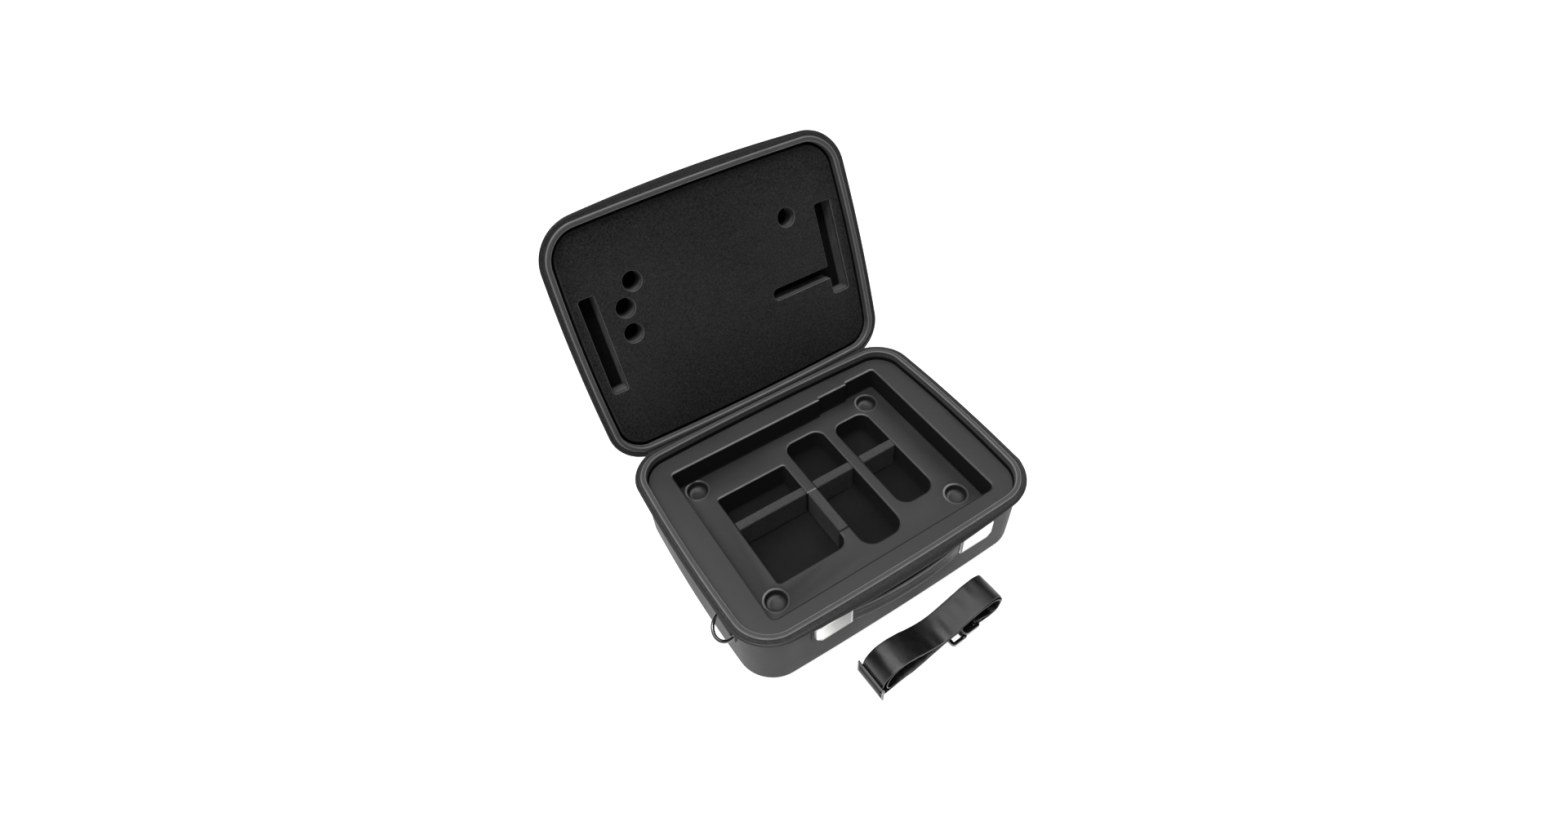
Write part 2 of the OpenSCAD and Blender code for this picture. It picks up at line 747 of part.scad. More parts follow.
right_inner = [[14, 26], [26, 28.3], [41, 32], [54, 35.1], [65, 36.2], [73, 35], [79.6, 30.8], [84, 24],
    [85, 16], [83, 9], [78.6, 5.6], [73, 5.3], [66, 8], [60, 11.2], [55, 13]];
strap_path = concat(low_end, right_outer, left_outer, fold, left_inner, right_inner,
    [for (i = [len(high_end) - 1:-1:0]) high_end[i]]);

// Places a part in the strap's frame, in front of the case
module in_strap() {
    translate([0, -half_d - strap_front, 0])
        rotate([0, 0, strap_turn])
            children();
}

// One length of webbing, folded to and fro into a flat bundle
module strap_webbing() {
    color(web_black)
        in_strap()
            translate([0, web_w / 2, 0])
                rotate([90, 0, 0])
                    linear_extrude(web_w)
                        polygon(ribbon(smooth(strap_path, 3), web_t));
}

// The slide has a frame and a middle bar, with the webbing woven through it
module strap_slide() {
    r = slide_bar / 2;
    color(steel)
        in_strap()
            translate([slide_x, 0, 0]) {
                for (z = slide_z)
                    translate([0, slide_w / 2 - slide_bar, z])
                        rotate([90, 0, 0])
                            cylinder(h = slide_w - 2 * slide_bar, r = r, $fn = 24);
                for (s = [-1, 1])
                    translate([-r, s > 0 ? slide_w / 2 - slide_bar : -slide_w / 2, slide_z[0] - r - 1.2])
                        cube([slide_bar, slide_bar, slide_z[2] - slide_z[0] + slide_bar + 2.4]);
            }
}

// ---- Hooks ----

hook_t = 4;
loop_l = 18;
loop_w = web_w + 9;
loop_arm = 3.5;
eye_w = 17;
eye_l = 22;
eye_wall = 3.2;
neck_l = 6;
neck_w = 9;
gate_t = 1.8;
gate_slot = 1.15;
gate_pin = 0.8;
gate_eye = 1.7;
gate_x = -loop_l - neck_l - 1.6;
gate_y = -eye_w / 2 + 1.7;
gate_l = 13;
nose_x = gate_x - gate_l - 0.3;

// Places a part at a hook's bar, with the hook lying towards minus x
module at_hook(bar) {
    in_strap() translate([bar.x, 0, bar.y]) children();
}

// A hook has a loop round the webbing's end, a neck, and an eye with a gap that the gate shuts
module hook_shape() {
    eye_x = -loop_l - neck_l;
    translate([0, loop_w / 2 - loop_arm, 0])
        rotate([90, 0, 0])
            cylinder(h = loop_w - 2 * loop_arm, r = hook_bar / 2, $fn = 32);
    difference() {
        translate([0, 0, -hook_t / 2])
            linear_extrude(hook_t)
                difference() {
                    union() {
                        polygon(rounded_box(-loop_l, -loop_w / 2, 2, loop_w / 2, [4, 2, 2, 4]));
                        translate([eye_x - 2, -neck_w / 2]) square([neck_l + 4, neck_w]);
                        polygon(rounded_box(eye_x - eye_l, -eye_w / 2, eye_x + 1, eye_w / 2, [8, 3, 3, 8]));
                    }
                    translate([-loop_l + loop_arm, -loop_w / 2 + loop_arm])
                        square([loop_l + 4, loop_w - 2 * loop_arm]);
                    polygon(rounded_box(eye_x - eye_l + eye_wall, -eye_w / 2 + eye_wall, eye_x - 4,
                        eye_w / 2 - eye_wall, [5, 1, 1, 5]));
                    translate([nose_x, -eye_w / 2 - 1]) square([eye_x - 4 - nose_x, eye_wall + 2]);
                }
        difference() {
            translate([gate_x - 4, -eye_w / 2 - 1, -gate_slot])
                cube([4 + gate_eye + 0.4, eye_wall + 2.4, 2 * gate_slot]);
            translate([gate_x, gate_y, -hook_t]) cylinder(h = 2 * hook_t, r = gate_pin, $fn = 24);
        }
    }
}

// The gate turns on its pin and closes the gap up to the nose
module gate_shape() {
    difference() {
        translate([0, 0, -gate_t / 2])
            union() {
                translate([gate_x, gate_y, 0]) cylinder(h = gate_t, r = gate_eye, $fn = 32);
                translate([gate_x - gate_l, gate_y - 1.1, 0]) cube([gate_l, 2.2, gate_t]);
            }
        translate([gate_x, gate_y, -hook_t]) cylinder(h = 2 * hook_t, r = gate_pin + 0.08, $fn = 24);
    }
}

module hook_low() { color(steel) at_hook(low_bar) hook_shape(); }
module hook_high() { color(steel) at_hook(high_bar) hook_shape(); }
module gate_low() { color(steel) at_hook(low_bar) gate_shape(); }
module gate_high() { color(steel) at_hook(high_bar) gate_shape(); }

base_shell();
base_bead();
base_tape();
base_teeth();
hinge_strip();
zip_tails();
tray();
divider_left();
divider_mid();
divider_right();
divider_front();
handle_pads();
cap_left();
cap_right();
grip_end_left();
grip_end_right();
grip();
tab_left();
tab_right();
ring_left();
ring_right();
slider_left();
slider_right();
pull_left();
pull_right();
lid_shell();
lid_bead();
lid_tape();
lid_teeth();
lid_foam();
strap_webbing();
strap_slide();
hook_low();
hook_high();
gate_low();
gate_high();
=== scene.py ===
import math

import bmesh
import bpy
import numpy as np
from mathutils import Matrix, Vector, noise


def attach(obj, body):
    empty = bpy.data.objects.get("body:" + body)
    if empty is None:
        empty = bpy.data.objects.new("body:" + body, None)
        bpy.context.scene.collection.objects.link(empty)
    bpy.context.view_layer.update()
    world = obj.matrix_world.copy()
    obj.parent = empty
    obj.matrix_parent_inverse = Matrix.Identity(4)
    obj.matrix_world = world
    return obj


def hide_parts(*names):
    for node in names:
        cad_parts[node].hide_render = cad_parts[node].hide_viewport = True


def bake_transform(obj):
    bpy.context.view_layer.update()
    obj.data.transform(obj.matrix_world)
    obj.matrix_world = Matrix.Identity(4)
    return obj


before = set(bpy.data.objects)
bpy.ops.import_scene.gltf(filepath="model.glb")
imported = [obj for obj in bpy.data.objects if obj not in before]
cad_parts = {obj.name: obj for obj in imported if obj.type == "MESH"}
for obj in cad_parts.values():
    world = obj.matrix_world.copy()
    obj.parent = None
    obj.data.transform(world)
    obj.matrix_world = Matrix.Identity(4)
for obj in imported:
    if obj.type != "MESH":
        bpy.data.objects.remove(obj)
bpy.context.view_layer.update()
mm = 0.001

# sizes of the case in millimetres, as the frame has them
case = dict(w=350.0, d=265.0, rimZ=95.0, lidH=38.0, frontR=36.0, backR=31.0, sideBow=5.0, frontBow=3.3,
            backBow=3.8, rimGap=4.3, lidOpen=112.8, hingeY=139.7, hingeZ=87.25)
lidRimZ = case["rimZ"] + case["rimGap"]
lidTop = lidRimZ + case["lidH"]
lidTurn = math.radians(case["lidOpen"])


# shapes shared by several pieces
def polar(r, degrees):
    a = math.radians(degrees)
    return r * math.cos(a), r * math.sin(a)


def arc(cx, cy, r, startDeg, turnDeg, steps, first=0):
    # points on an arc, from the one numbered first to the last
    spokes = [polar(r, startDeg + turnDeg * i / steps) for i in range(first, steps + 1)]
    return [(cx + x, cy + y) for x, y in spokes]


def betweenPoints(p, q, steps):
    return [(p[0] + (q[0] - p[0]) * i / steps, p[1] + (q[1] - p[1]) * i / steps) for i in range(1, steps)]


def caseOutline(inset, cornerSteps=14, sideSteps=26):
    # rounded rectangle with swelling sides, from the front right corner anticlockwise
    w2, d2 = case["w"] / 2 - inset, case["d"] / 2 - inset
    rf, rb = max(case["frontR"] - inset, 3), max(case["backR"] - inset, 3)
    corners = [arc(w2 - rf, rf - d2, rf, -90, 90, cornerSteps), arc(w2 - rb, d2 - rb, rb, 0, 90, cornerSteps),
               arc(rb - w2, d2 - rb, rb, 90, 90, cornerSteps), arc(rf - w2, rf - d2, rf, 180, 90, cornerSteps)]
    plain = []
    for here, following in zip(corners, corners[1:] + corners[:1]):
        plain += here + betweenPoints(here[-1], following[0], sideSteps)
    swollen = []
    for x, y in plain:
        sx, sy = x / w2, y / d2
        bow = case["frontBow"] if sy < 0 else case["backBow"]
        swollen.append((x + sx * case["sideBow"] * (1 - sy * sy), y + sy * bow * (1 - sx * sx)))
    return swollen


def asBuilt(p):
    return p


def openLid(p):
    # turns a point of the shut lid to where the lid stands open
    y, z = p[1] - case["hingeY"], p[2] - case["hingeZ"]
    c, s = math.cos(lidTurn), math.sin(lidTurn)
    return (p[0], c * y + s * z + case["hingeY"], c * z - s * y + case["hingeZ"])


def roundedLoop(corners, grow=0.0, steps=6):
    # corners: (x, y, radius) anticlockwise; grow moves the sides outwards; the point count stays
    n = len(corners)
    loop = []
    for i in range(n):
        p = Vector(corners[i][:2])
        before = (p - Vector(corners[i - 1][:2])).normalized()
        after = (Vector(corners[(i + 1) % n][:2]) - p).normalized()
        turn = before.x * after.y - before.y * after.x
        nBefore, nAfter = Vector((before.y, -before.x)), Vector((after.y, -after.x))
        # where the two moved sides meet
        corner = p + (nBefore + nAfter) * (grow / (1 + nBefore.dot(nAfter)))
        r = max(corners[i][2] + (grow if turn > 0 else -grow), 0.15)
        angle = math.acos(max(-1, min(1, before.dot(after))))
        sign = 1 if turn > 0 else -1
        start = corner - before * (r * math.tan(angle / 2))
        centre = start - nBefore * r * sign
        spoke = start - centre
        for s in range(steps + 1):
            a = sign * angle * s / steps
            loop.append((centre.x + spoke.x * math.cos(a) - spoke.y * math.sin(a),
                         centre.y + spoke.x * math.sin(a) + spoke.y * math.cos(a)))
    return loop


def circleLoop(x, y, r, steps=40):
    return arc(x, y, r, 0, 360, steps)[:-1]


def smoothCurve(points, steps):
    # a curve through all the points
    pts = [np.array(p, float) for p in points]
    out = []
    for i in range(len(pts) - 1):
        a, b, c, d = pts[max(i - 1, 0)], pts[i], pts[i + 1], pts[min(i + 2, len(pts) - 1)]
        for s in range(steps):
            t = s / steps
            out.append(0.5 * (2 * b + (c - a) * t + (2 * a - 5 * b + 4 * c - d) * t * t
                              + (3 * b - a - 3 * c + d) * t ** 3))
    out.append(pts[-1])
    return out


def curveNormals(line):
    normals = []
    for i in range(len(line)):
        d = line[min(i + 1, len(line) - 1)] - line[max(i - 1, 0)]
        d = d / np.linalg.norm(d)
        normals.append((-d[1], d[0]))
    return normals


def lengthsAlong(loop):
    # distance walked to each point, and back to the first
    total, out = 0.0, [0.0]
    for a, b in zip(loop, loop[1:] + loop[:1]):
        total += math.dist(a, b)
        out.append(total)
    return out


class MeshParts:
    # gathers points in millimetres and faces, with two masks per point and a uv per face corner
    def __init__(self):
        self.points, self.faces, self.rim, self.deep, self.uvs = [], [], [], [], []

    def add(self, points, rim=0.0, deep=0.0):
        start = len(self.points)
        self.points += [tuple(p) for p in points]
        self.rim += [rim] * len(points)
        self.deep += [deep] * len(points)
        return list(range(start, start + len(points)))

    def face(self, ids, uv=None):
        self.faces.append(tuple(ids))
        self.uvs.append(uv)

    def skin(self, rows, uvAt=None, closed=True, turned=False):
        # faces between each row and the next; uvAt gives the uv of a place along a row and a row's number
        for i, (a, b) in enumerate(zip(rows, rows[1:])):
            for k in range(len(a) if closed else len(a) - 1):
                m = (k + 1) % len(a)
                ids = (a[k], a[m], b[m], b[k])
                uv = uvAt and (uvAt(k, i), uvAt(k + 1, i), uvAt(k + 1, i + 1), uvAt(k, i + 1))
                if turned:
                    ids, uv = ids[::-1], uv and uv[::-1]
                self.face(ids, uv)

    def capBoth(self, rows):
        self.face(rows[0][::-1])
        self.face(rows[-1])

    def fill(self, outer, holes, normal):
        # flat face between an outer loop and its holes
        bm = bmesh.new()
        seen = {}
        for loop in [outer] + holes:
            for i in loop:
                seen[i] = bm.verts.new(self.points[i])
        for loop in [outer] + holes:
            for a, b in zip(loop, loop[1:] + loop[:1]):
                bm.edges.new((seen[a], seen[b]))
        result = bmesh.ops.triangle_fill(bm, edges=bm.edges[:], use_beauty=True, normal=normal)
        back = {v: i for i, v in seen.items()}
        for f in result["geom"]:
            if isinstance(f, bmesh.types.BMFace):
                ids = [back[v] for v in f.verts]
                if f.normal.dot(Vector(normal)) < 0:
                    ids.reverse()
                self.face(ids)
        bm.free()


def makePiece(name, parts, material, body, replaces=(), sharp=35, flip=False):
    mesh = bpy.data.meshes.new(name)
    faces = [f[::-1] for f in parts.faces] if flip else parts.faces
    mesh.from_pydata([(x * mm, y * mm, z * mm) for x, y, z in parts.points], [], faces)
    if any(uv is not None for uv in parts.uvs):
        layer = mesh.uv_layers.new(name="along")
        flat = []
        for f, uv in zip(parts.faces, parts.uvs):
            here = list(uv) if uv is not None else [(0, 0)] * len(f)
            flat += reversed(here) if flip else here
        layer.data.foreach_set("uv", [c for uv in flat for c in uv])
    for mask, values in (("rim", parts.rim), ("deep", parts.deep)):
        mesh.attributes.new(mask, "FLOAT", "POINT").data.foreach_set("value", values)
    mesh.validate()
    markSharp(mesh, sharp)
    return placePiece(bpy.data.objects.new(name, mesh), material, body, replaces)


def markSharp(mesh, degrees):
    bm = bmesh.new()
    bm.from_mesh(mesh)
    limit = math.radians(degrees)
    for e in bm.edges:
        e.smooth = not (len(e.link_faces) == 2 and e.calc_face_angle(0) > limit)
    for f in bm.faces:
        f.smooth = True
    bm.to_mesh(mesh)
    bm.free()


def placePiece(obj, material, body, replaces=()):
    bpy.context.scene.collection.objects.link(obj)
    obj.data.materials.append(material)
    if body:
        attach(obj, body)
    if replaces:
        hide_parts(*replaces)
    return obj


# shader groups
def newGroup(name, inputs, outputs):
    # inputs: label and value, where a tuple is a colour; outputs: labels, where "Color" is a colour
    group = bpy.data.node_groups.new(name, "ShaderNodeTree")
    for label, value in inputs.items():
        kind = "NodeSocketColor" if isinstance(value, tuple) else "NodeSocketFloat"
        group.interface.new_socket(name=label, in_out="INPUT", socket_type=kind).default_value = value
    for label in outputs:
        kind = "NodeSocketColor" if label == "Color" else "NodeSocketFloat"
        group.interface.new_socket(name=label, in_out="OUTPUT", socket_type=kind)
    return group, group.nodes.new("NodeGroupInput"), group.nodes.new("NodeGroupOutput")


def mathNode(nodes, links, kind, a, b=None, clamp=False):
    node = nodes.new("ShaderNodeMath")
    node.operation = kind
    node.use_clamp = clamp
    for i, v in enumerate((a, b)):
        if isinstance(v, (int, float)):
            node.inputs[i].default_value = v
        elif v is not None:
            links.new(v, node.inputs[i])
    return node.outputs[0]


def noiseNode(nodes, links, scale, detail, rough=0.5):
    coord = nodes.new("ShaderNodeTexCoord")
    node = nodes.new("ShaderNodeTexNoise")
    node.inputs["Detail"].default_value = detail
    node.inputs["Roughness"].default_value = rough
    if isinstance(scale, float):
        node.inputs["Scale"].default_value = scale
    else:
        links.new(scale, node.inputs["Scale"])
    links.new(coord.outputs["Object"], node.inputs["Vector"])
    return node.outputs["Fac"]


def scaleColor(nodes, links, color, gain):
    node = nodes.new("ShaderNodeVectorMath")
    node.operation = "SCALE"
    links.new(color, node.inputs[0])
    links.new(gain, node.inputs["Scale"])
    return node.outputs[0]


darkGray = (0.05, 0.05, 0.05, 1)


def grainGroup():
    # fine pebbled grain with a broad unevenness, for coated cloth, foam and moulded sheet
    group, gin, gout = newGroup("moldedGrain", dict(Color=darkGray, Scale=1500.0, Speckle=0.3, Mottle=0.15),
                                ["Color", "Height", "Roughness Shift"])
    n, l = group.nodes, group.links
    fine = noiseNode(n, l, gin.outputs["Scale"], 3.0, 0.6)
    broad = noiseNode(n, l, 14.0, 4.0)
    speck = mathNode(n, l, "MULTIPLY", mathNode(n, l, "SUBTRACT", fine, 0.5), gin.outputs["Speckle"])
    cloud = mathNode(n, l, "MULTIPLY", mathNode(n, l, "SUBTRACT", broad, 0.5), gin.outputs["Mottle"])
    gain = mathNode(n, l, "ADD", mathNode(n, l, "ADD", speck, cloud), 1.0)
    l.new(scaleColor(n, l, gin.outputs["Color"], gain), gout.inputs["Color"])
    l.new(fine, gout.inputs["Height"])
    l.new(cloud, gout.inputs["Roughness Shift"])
    return group


def rimGroup():
    # lightens what the rim mask marks: painted highlights on rounded edges, and the lid foam's lighter cut
    # walls
    inputs = {"Color": darkGray, "Rim Color": (0.2, 0.2, 0.2, 1), "Amount": 0.5}
    group, gin, gout = newGroup("rimHighlightAndCutFoam", inputs, ["Color"])
    n, l = group.nodes, group.links
    attribute = n.new("ShaderNodeAttribute")
    attribute.attribute_name = "rim"
    broken = mathNode(n, l, "ADD", noiseNode(n, l, 60.0, 3.0), 0.45)
    mask = mathNode(n, l, "MULTIPLY", attribute.outputs["Fac"], broken)
    mask = mathNode(n, l, "MULTIPLY", mask, gin.outputs["Amount"], clamp=True)
    mix = n.new("ShaderNodeMix")
    mix.data_type = "RGBA"
    l.new(mask, mix.inputs["Factor"])
    l.new(gin.outputs["Color"], mix.inputs["A"])
    l.new(gin.outputs["Rim Color"], mix.inputs["B"])
    l.new(mix.outputs["Result"], gout.inputs["Color"])
    return group


def paintedShadeGroup():
    # painted shade: darkens and dulls what the deep mask marks, walls and floors that light hardly reaches
    group, gin, gout = newGroup("deepPaintedShade", dict(Color=darkGray, Share=0.8, Matte=0.5),
                                ["Color", "Roughness Shift"])
    n, l = group.nodes, group.links
    attribute = n.new("ShaderNodeAttribute")
    attribute.attribute_name = "deep"
    loss = mathNode(n, l, "MULTIPLY", attribute.outputs["Fac"], gin.outputs["Share"], clamp=True)
    kept = mathNode(n, l, "SUBTRACT", 1.0, loss)
    l.new(scaleColor(n, l, gin.outputs["Color"], kept), gout.inputs["Color"])
    l.new(mathNode(n, l, "MULTIPLY", loss, gin.outputs["Matte"]), gout.inputs["Roughness Shift"])
    return group


def weaveGroup():
    # over and under threads along and across a ribbon, from its uv in metres
    group, gin, gout = newGroup("ribbonWeave", dict(Color=darkGray, Thread=0.0011, Slant=1.0, Contrast=0.5),
                                ["Color", "Height"])
    n, l = group.nodes, group.links
    uv = n.new("ShaderNodeUVMap")
    uv.uv_map = "along"
    split = n.new("ShaderNodeSeparateXYZ")
    l.new(uv.outputs["UV"], split.inputs[0])
    u = mathNode(n, l, "DIVIDE", split.outputs["X"], gin.outputs["Thread"])
    v = mathNode(n, l, "DIVIDE", split.outputs["Y"], gin.outputs["Thread"])
    v = mathNode(n, l, "MULTIPLY", v, gin.outputs["Slant"])
    waves = []
    for kind in ("ADD", "SUBTRACT"):
        wave = mathNode(n, l, "SINE", mathNode(n, l, "MULTIPLY", mathNode(n, l, kind, u, v), math.pi))
        waves.append(mathNode(n, l, "ABSOLUTE", wave))
    weave = mathNode(n, l, "MULTIPLY", *waves)
    fluff = mathNode(n, l, "MULTIPLY", noiseNode(n, l, 900.0, 2.0), 0.35)
    height = mathNode(n, l, "ADD", weave, fluff)
    contrast = mathNode(n, l, "MULTIPLY", mathNode(n, l, "SUBTRACT", height, 0.55), gin.outputs["Contrast"])
    gain = mathNode(n, l, "ADD", contrast, 1.0)
    l.new(scaleColor(n, l, gin.outputs["Color"], gain), gout.inputs["Color"])
    l.new(height, gout.inputs["Height"])
    return group


groups = dict(grain=grainGroup(), weave=weaveGroup(), deep=paintedShadeGroup(), rim=rimGroup())


# materials
def gray(v):
    return (v, v, v * 0.985, 1)


def finishMaterial(name, tone, rough, bump=0.1, bumpSize=0.0002, metal=0.0, sheen=0.0, specular=0.5,
                   **effects):
    material = bpy.data.materials.new(name)
    material.use_nodes = True
    n, l = material.node_tree.nodes, material.node_tree.links
    shader = n["Principled BSDF"]
    for label, value in (("Metallic", metal), ("Roughness", rough), ("Sheen Weight", sheen),
                         ("Specular IOR Level", specular)):
        shader.inputs[label].default_value = value
    color, height, shift = None, None, None
    for key in groups:
        if key not in effects:
            continue
        node = n.new("ShaderNodeGroup")
        node.node_tree = groups[key]
        for label, value in effects[key].items():
            node.inputs[label].default_value = value
        if color:
            l.new(color, node.inputs["Color"])
        else:
            node.inputs["Color"].default_value = gray(tone)
        color = node.outputs["Color"]
        height = node.outputs.get("Height") or height
        extra = node.outputs.get("Roughness Shift")
        if extra:
            shift = mathNode(n, l, "ADD", shift, extra) if shift else extra
    l.new(color, shader.inputs["Base Color"])
    if shift:
        l.new(mathNode(n, l, "ADD", shift, rough, clamp=True), shader.inputs["Roughness"])
    relief = n.new("ShaderNodeBump")
    relief.inputs["Strength"].default_value = bump
    relief.inputs["Distance"].default_value = bumpSize
    l.new(height, relief.inputs["Height"])
    l.new(relief.outputs["Normal"], shader.inputs["Normal"])
    return material


def rimTone(v, amount):
    return {"Rim Color": gray(v), "Amount": amount}


finishes = dict(
    shell=dict(name="shellCoatedCloth", tone=0.015, rough=0.50, specular=0.27, bump=0.25, bumpSize=0.0003,
               grain=dict(Scale=2200.0, Speckle=0.5, Mottle=0.25)),
    # rim colour: painted highlight on the band that catches light, and lightening of the binding's inner leg
    bead=dict(name="rimBinding", tone=0.068, rough=0.62, sheen=0.1, bump=0.4, bumpSize=0.0003,
              grain=dict(Scale=1600.0, Speckle=0.8, Mottle=0.1), rim=rimTone(0.24, 0.9),
              weave=dict(Thread=0.0009, Slant=1.0, Contrast=0.5)),
    tape=dict(name="zipTape", tone=0.034, rough=0.75, bump=0.6, bumpSize=0.0003,
              grain=dict(Scale=650.0, Speckle=3.0, Mottle=0.3),
              weave=dict(Thread=0.0012, Slant=1.0, Contrast=1.1)),
    teeth=dict(name="zipCoil", tone=0.040, rough=0.40, bump=0.05,
               grain=dict(Scale=900.0, Speckle=0.2, Mottle=0.1)),
    # rim colour: painted highlights on rounded edges; deep share: painted shade in hollows
    tray=dict(name="moldedTray", tone=0.036, rough=0.50, specular=0.45, bump=0.22, bumpSize=0.0003,
              grain=dict(Scale=2600.0, Speckle=0.4, Mottle=0.5), rim=rimTone(0.44, 0.95),
              deep=dict(Share=0.9)),
    cutFoam=dict(name="cutFoam", tone=0.066, rough=0.95, bump=0.9, bumpSize=0.0008,
                 grain=dict(Scale=900.0, Speckle=1.6, Mottle=0.25)),
    # rim colour: lighter cut foam on the cut walls, and a painted highlight on the face's edge; deep share:
    # painted shade in the cuts
    felt=dict(name="lidFelt", tone=0.021, rough=0.97, specular=0.25, bump=0.9, bumpSize=0.0008,
              grain=dict(Scale=520.0, Speckle=4.5, Mottle=0.4), rim=rimTone(0.15, 0.95),
              deep=dict(Share=0.85)),
    pad=dict(name="handlePad", tone=0.018, rough=0.6, bump=0.4, bumpSize=0.0003,
             grain=dict(Scale=1200.0, Speckle=0.4, Mottle=0.2)),
    cap=dict(name="capSatin", tone=0.90, rough=0.36, metal=0.8, bump=0.03,
             grain=dict(Scale=500.0, Speckle=0.06, Mottle=0.08)),
    # rim colour: painted highlight along the face's edges
    grip=dict(name="gripBand", tone=0.034, rough=0.42, bump=0.4, bumpSize=0.0004,
              grain=dict(Scale=1300.0, Speckle=0.6, Mottle=0.3), rim=rimTone(0.26, 0.9)),
    strap=dict(name="strapWebbing", tone=0.005, rough=0.26, specular=0.6, bump=0.3, bumpSize=0.0003,
               grain=dict(Scale=1500.0, Speckle=0.5, Mottle=0.6),
               weave=dict(Thread=0.0012, Slant=1.0, Contrast=0.8)),
    tab=dict(name="tabWebbing", tone=0.020, rough=0.6, bump=0.5, bumpSize=0.0004,
             weave=dict(Thread=0.0012, Slant=1.0, Contrast=0.6)),
    steel=dict(name="darkSteel", tone=0.15, rough=0.18, metal=1.0, bump=0.02,
               grain=dict(Scale=700.0, Speckle=0.1, Mottle=0.1)),
    thread=dict(name="seamThread", tone=0.03, rough=0.8, bump=0.3,
                grain=dict(Scale=3000.0, Speckle=0.6, Mottle=0.1)),
)
mat = {key: finishMaterial(**values) for key, values in finishes.items()}
print("materials made")


# shells
# innerTrim: how much smaller the inner edge's radius is; lip: the rim's inner corner, inset and down
shell = dict(wall=2.85, floorUp=4.5, innerTrim=4.0, out=1.15, swell=0.35, wallTop=2.4, lip=(0.85, 1.2),
             foot=2.5, baseEdge=9.0, lidEdge=14.0)


def shellRings(depth, edgeR, place):
    # rings from the inner floor's edge over the rim to the underside, z measured up from the foot
    wall, innerR = shell["wall"], edgeR - shell["innerTrim"]
    top, low = depth - 2.0, shell["floorUp"] + innerR
    rings = []
    for i in range(7):
        x, y = polar(innerR, 90 - 15 * i)
        rings.append((wall + innerR - x, low - y))
    rings += [(wall, low + (top - low) * k / 4) for k in range(1, 5)]
    rings.append((shell["lip"][0], depth - shell["lip"][1]))
    top = depth - shell["wallTop"]
    for k in range(7):
        t = k / 6
        rings.append((-shell["out"] - shell["swell"] * math.sin(math.pi * t), top - (top - edgeR) * t))
    for i in range(1, 11):
        x, y = polar(edgeR, 9 * i)
        rings.append((edgeR - shell["out"] - x, edgeR - y))
    rings.append((rings[-1][0] + shell["foot"], 0.0))
    return [[place((x, y, z)) for x, y in caseOutline(inset)] for inset, z in rings]


def shellPiece(name, depth, edgeR, place, body, node, flip):
    parts = MeshParts()
    rows = [parts.add(ring) for ring in shellRings(depth, edgeR, place)]
    parts.skin(rows)
    parts.capBoth(rows)
    makePiece(name, parts, mat["shell"], body, replaces=[node], flip=flip)


def lidFromTop(p):
    return openLid((p[0], p[1], lidTop - p[2]))


shellPiece("baseShell", case["rimZ"], shell["baseEdge"], asBuilt, "base", "base_shell", True)
shellPiece("lidShell", case["lidH"], shell["lidEdge"], lidFromTop, "lid", "lid_shell", False)
print("shells made")


# rims: bound bead, zip tape and coil
# paintedHighlight: the band of the section that catches light, lightened as a painted highlight; leg: inset,
# drop and lightening of the binding's inner leg
bead = dict(half=3.25, tall=2.15, groove=0.32, grooveAt=0.30, grooveWide=0.13, paintedHighlight=(0.42, 0.80), steps=28,
            leg=((2.9, 0.5, 0.0), (3.35, 1.6, 0.0), (3.4, 5.4, 0.35), (3.3, 6.4, 0.5), (2.95, 6.5, 0.0)),
            stepUv=0.0007, legUv=0.002)


def beadPiece(name, z, side, place, body, node):
    # oval section with a stitched groove, and the binding's inner leg on the shell's inner face
    def outline(inset):
        return caseOutline(inset, 16, 60)

    parts = MeshParts()
    rows = []
    for i in range(bead["steps"]):
        a = 2 * math.pi * i / bead["steps"]
        up = math.sin(a) * side
        groove = bead["groove"] * math.exp(-((up - bead["grooveAt"]) / bead["grooveWide"]) ** 2)
        half, tall = bead["half"] - groove, bead["tall"] - groove / 2
        # the band of the section that catches light gets a painted highlight
        paintedHighlight = 1.0 if bead["paintedHighlight"][0] < up < bead["paintedHighlight"][1] else 0.0
        rows.append(parts.add([place((x, y, z + tall * math.sin(a))) for x, y in outline(-half * math.cos(a))],
                              paintedHighlight))
    run = lengthsAlong(outline(0))
    legs = [parts.add([place((x, y, z - side * drop)) for x, y in outline(inset)], lightening)
            for inset, drop, lightening in bead["leg"]]
    for a, b in zip(legs, legs[1:]):
        parts.skin([b, a], lambda k, row: (run[k] * mm, row * bead["legUv"]))
    parts.skin(rows + rows[:1], lambda k, row: (run[k] * mm, row * bead["stepUv"]))
    makePiece(name, parts, mat["bead"], body, replaces=[node], sharp=60)


beadPiece("baseBead", case["rimZ"], 1, asBuilt, "base", "base_bead")
beadPiece("lidBead", lidRimZ, -1, openLid, "lid", "lid_bead")

# backY, endX: the tape stops behind backY where it comes nearer than endX to the middle
# coil: how far along the tape and how high each point of a coil loop lies
zipper = dict(inner=-2.6, outer=-9.0, backY=123.5, endX=145.0, droop=4.2, lidDroop=0.5, below=0.6,
              sheets=(-0.25, 0.45), columns=7, columnUv=0.001, flareY=-60.0, flareX=150.0, flareReach=0.5,
              pitch=1.55, coilHalf=0.5, coilBelow=0.3,
              coil=((0.52, 0.0), (0.56, 0.85), (0.75, 1.15), (0.97, 0.95), (1.02, 0.1)))


def rowPath(inset):
    # the zip's run: outline points without the back's middle, ordered from one back end to the other
    loop = caseOutline(inset, 24, 90)
    behind = [i for i, p in enumerate(loop) if p[1] > zipper["backY"]]
    cut = min(behind, key=lambda i: abs(loop[i][0]))
    return [p for p in loop[cut:] + loop[:cut] if p[1] <= zipper["backY"] or abs(p[0]) >= zipper["endX"]]


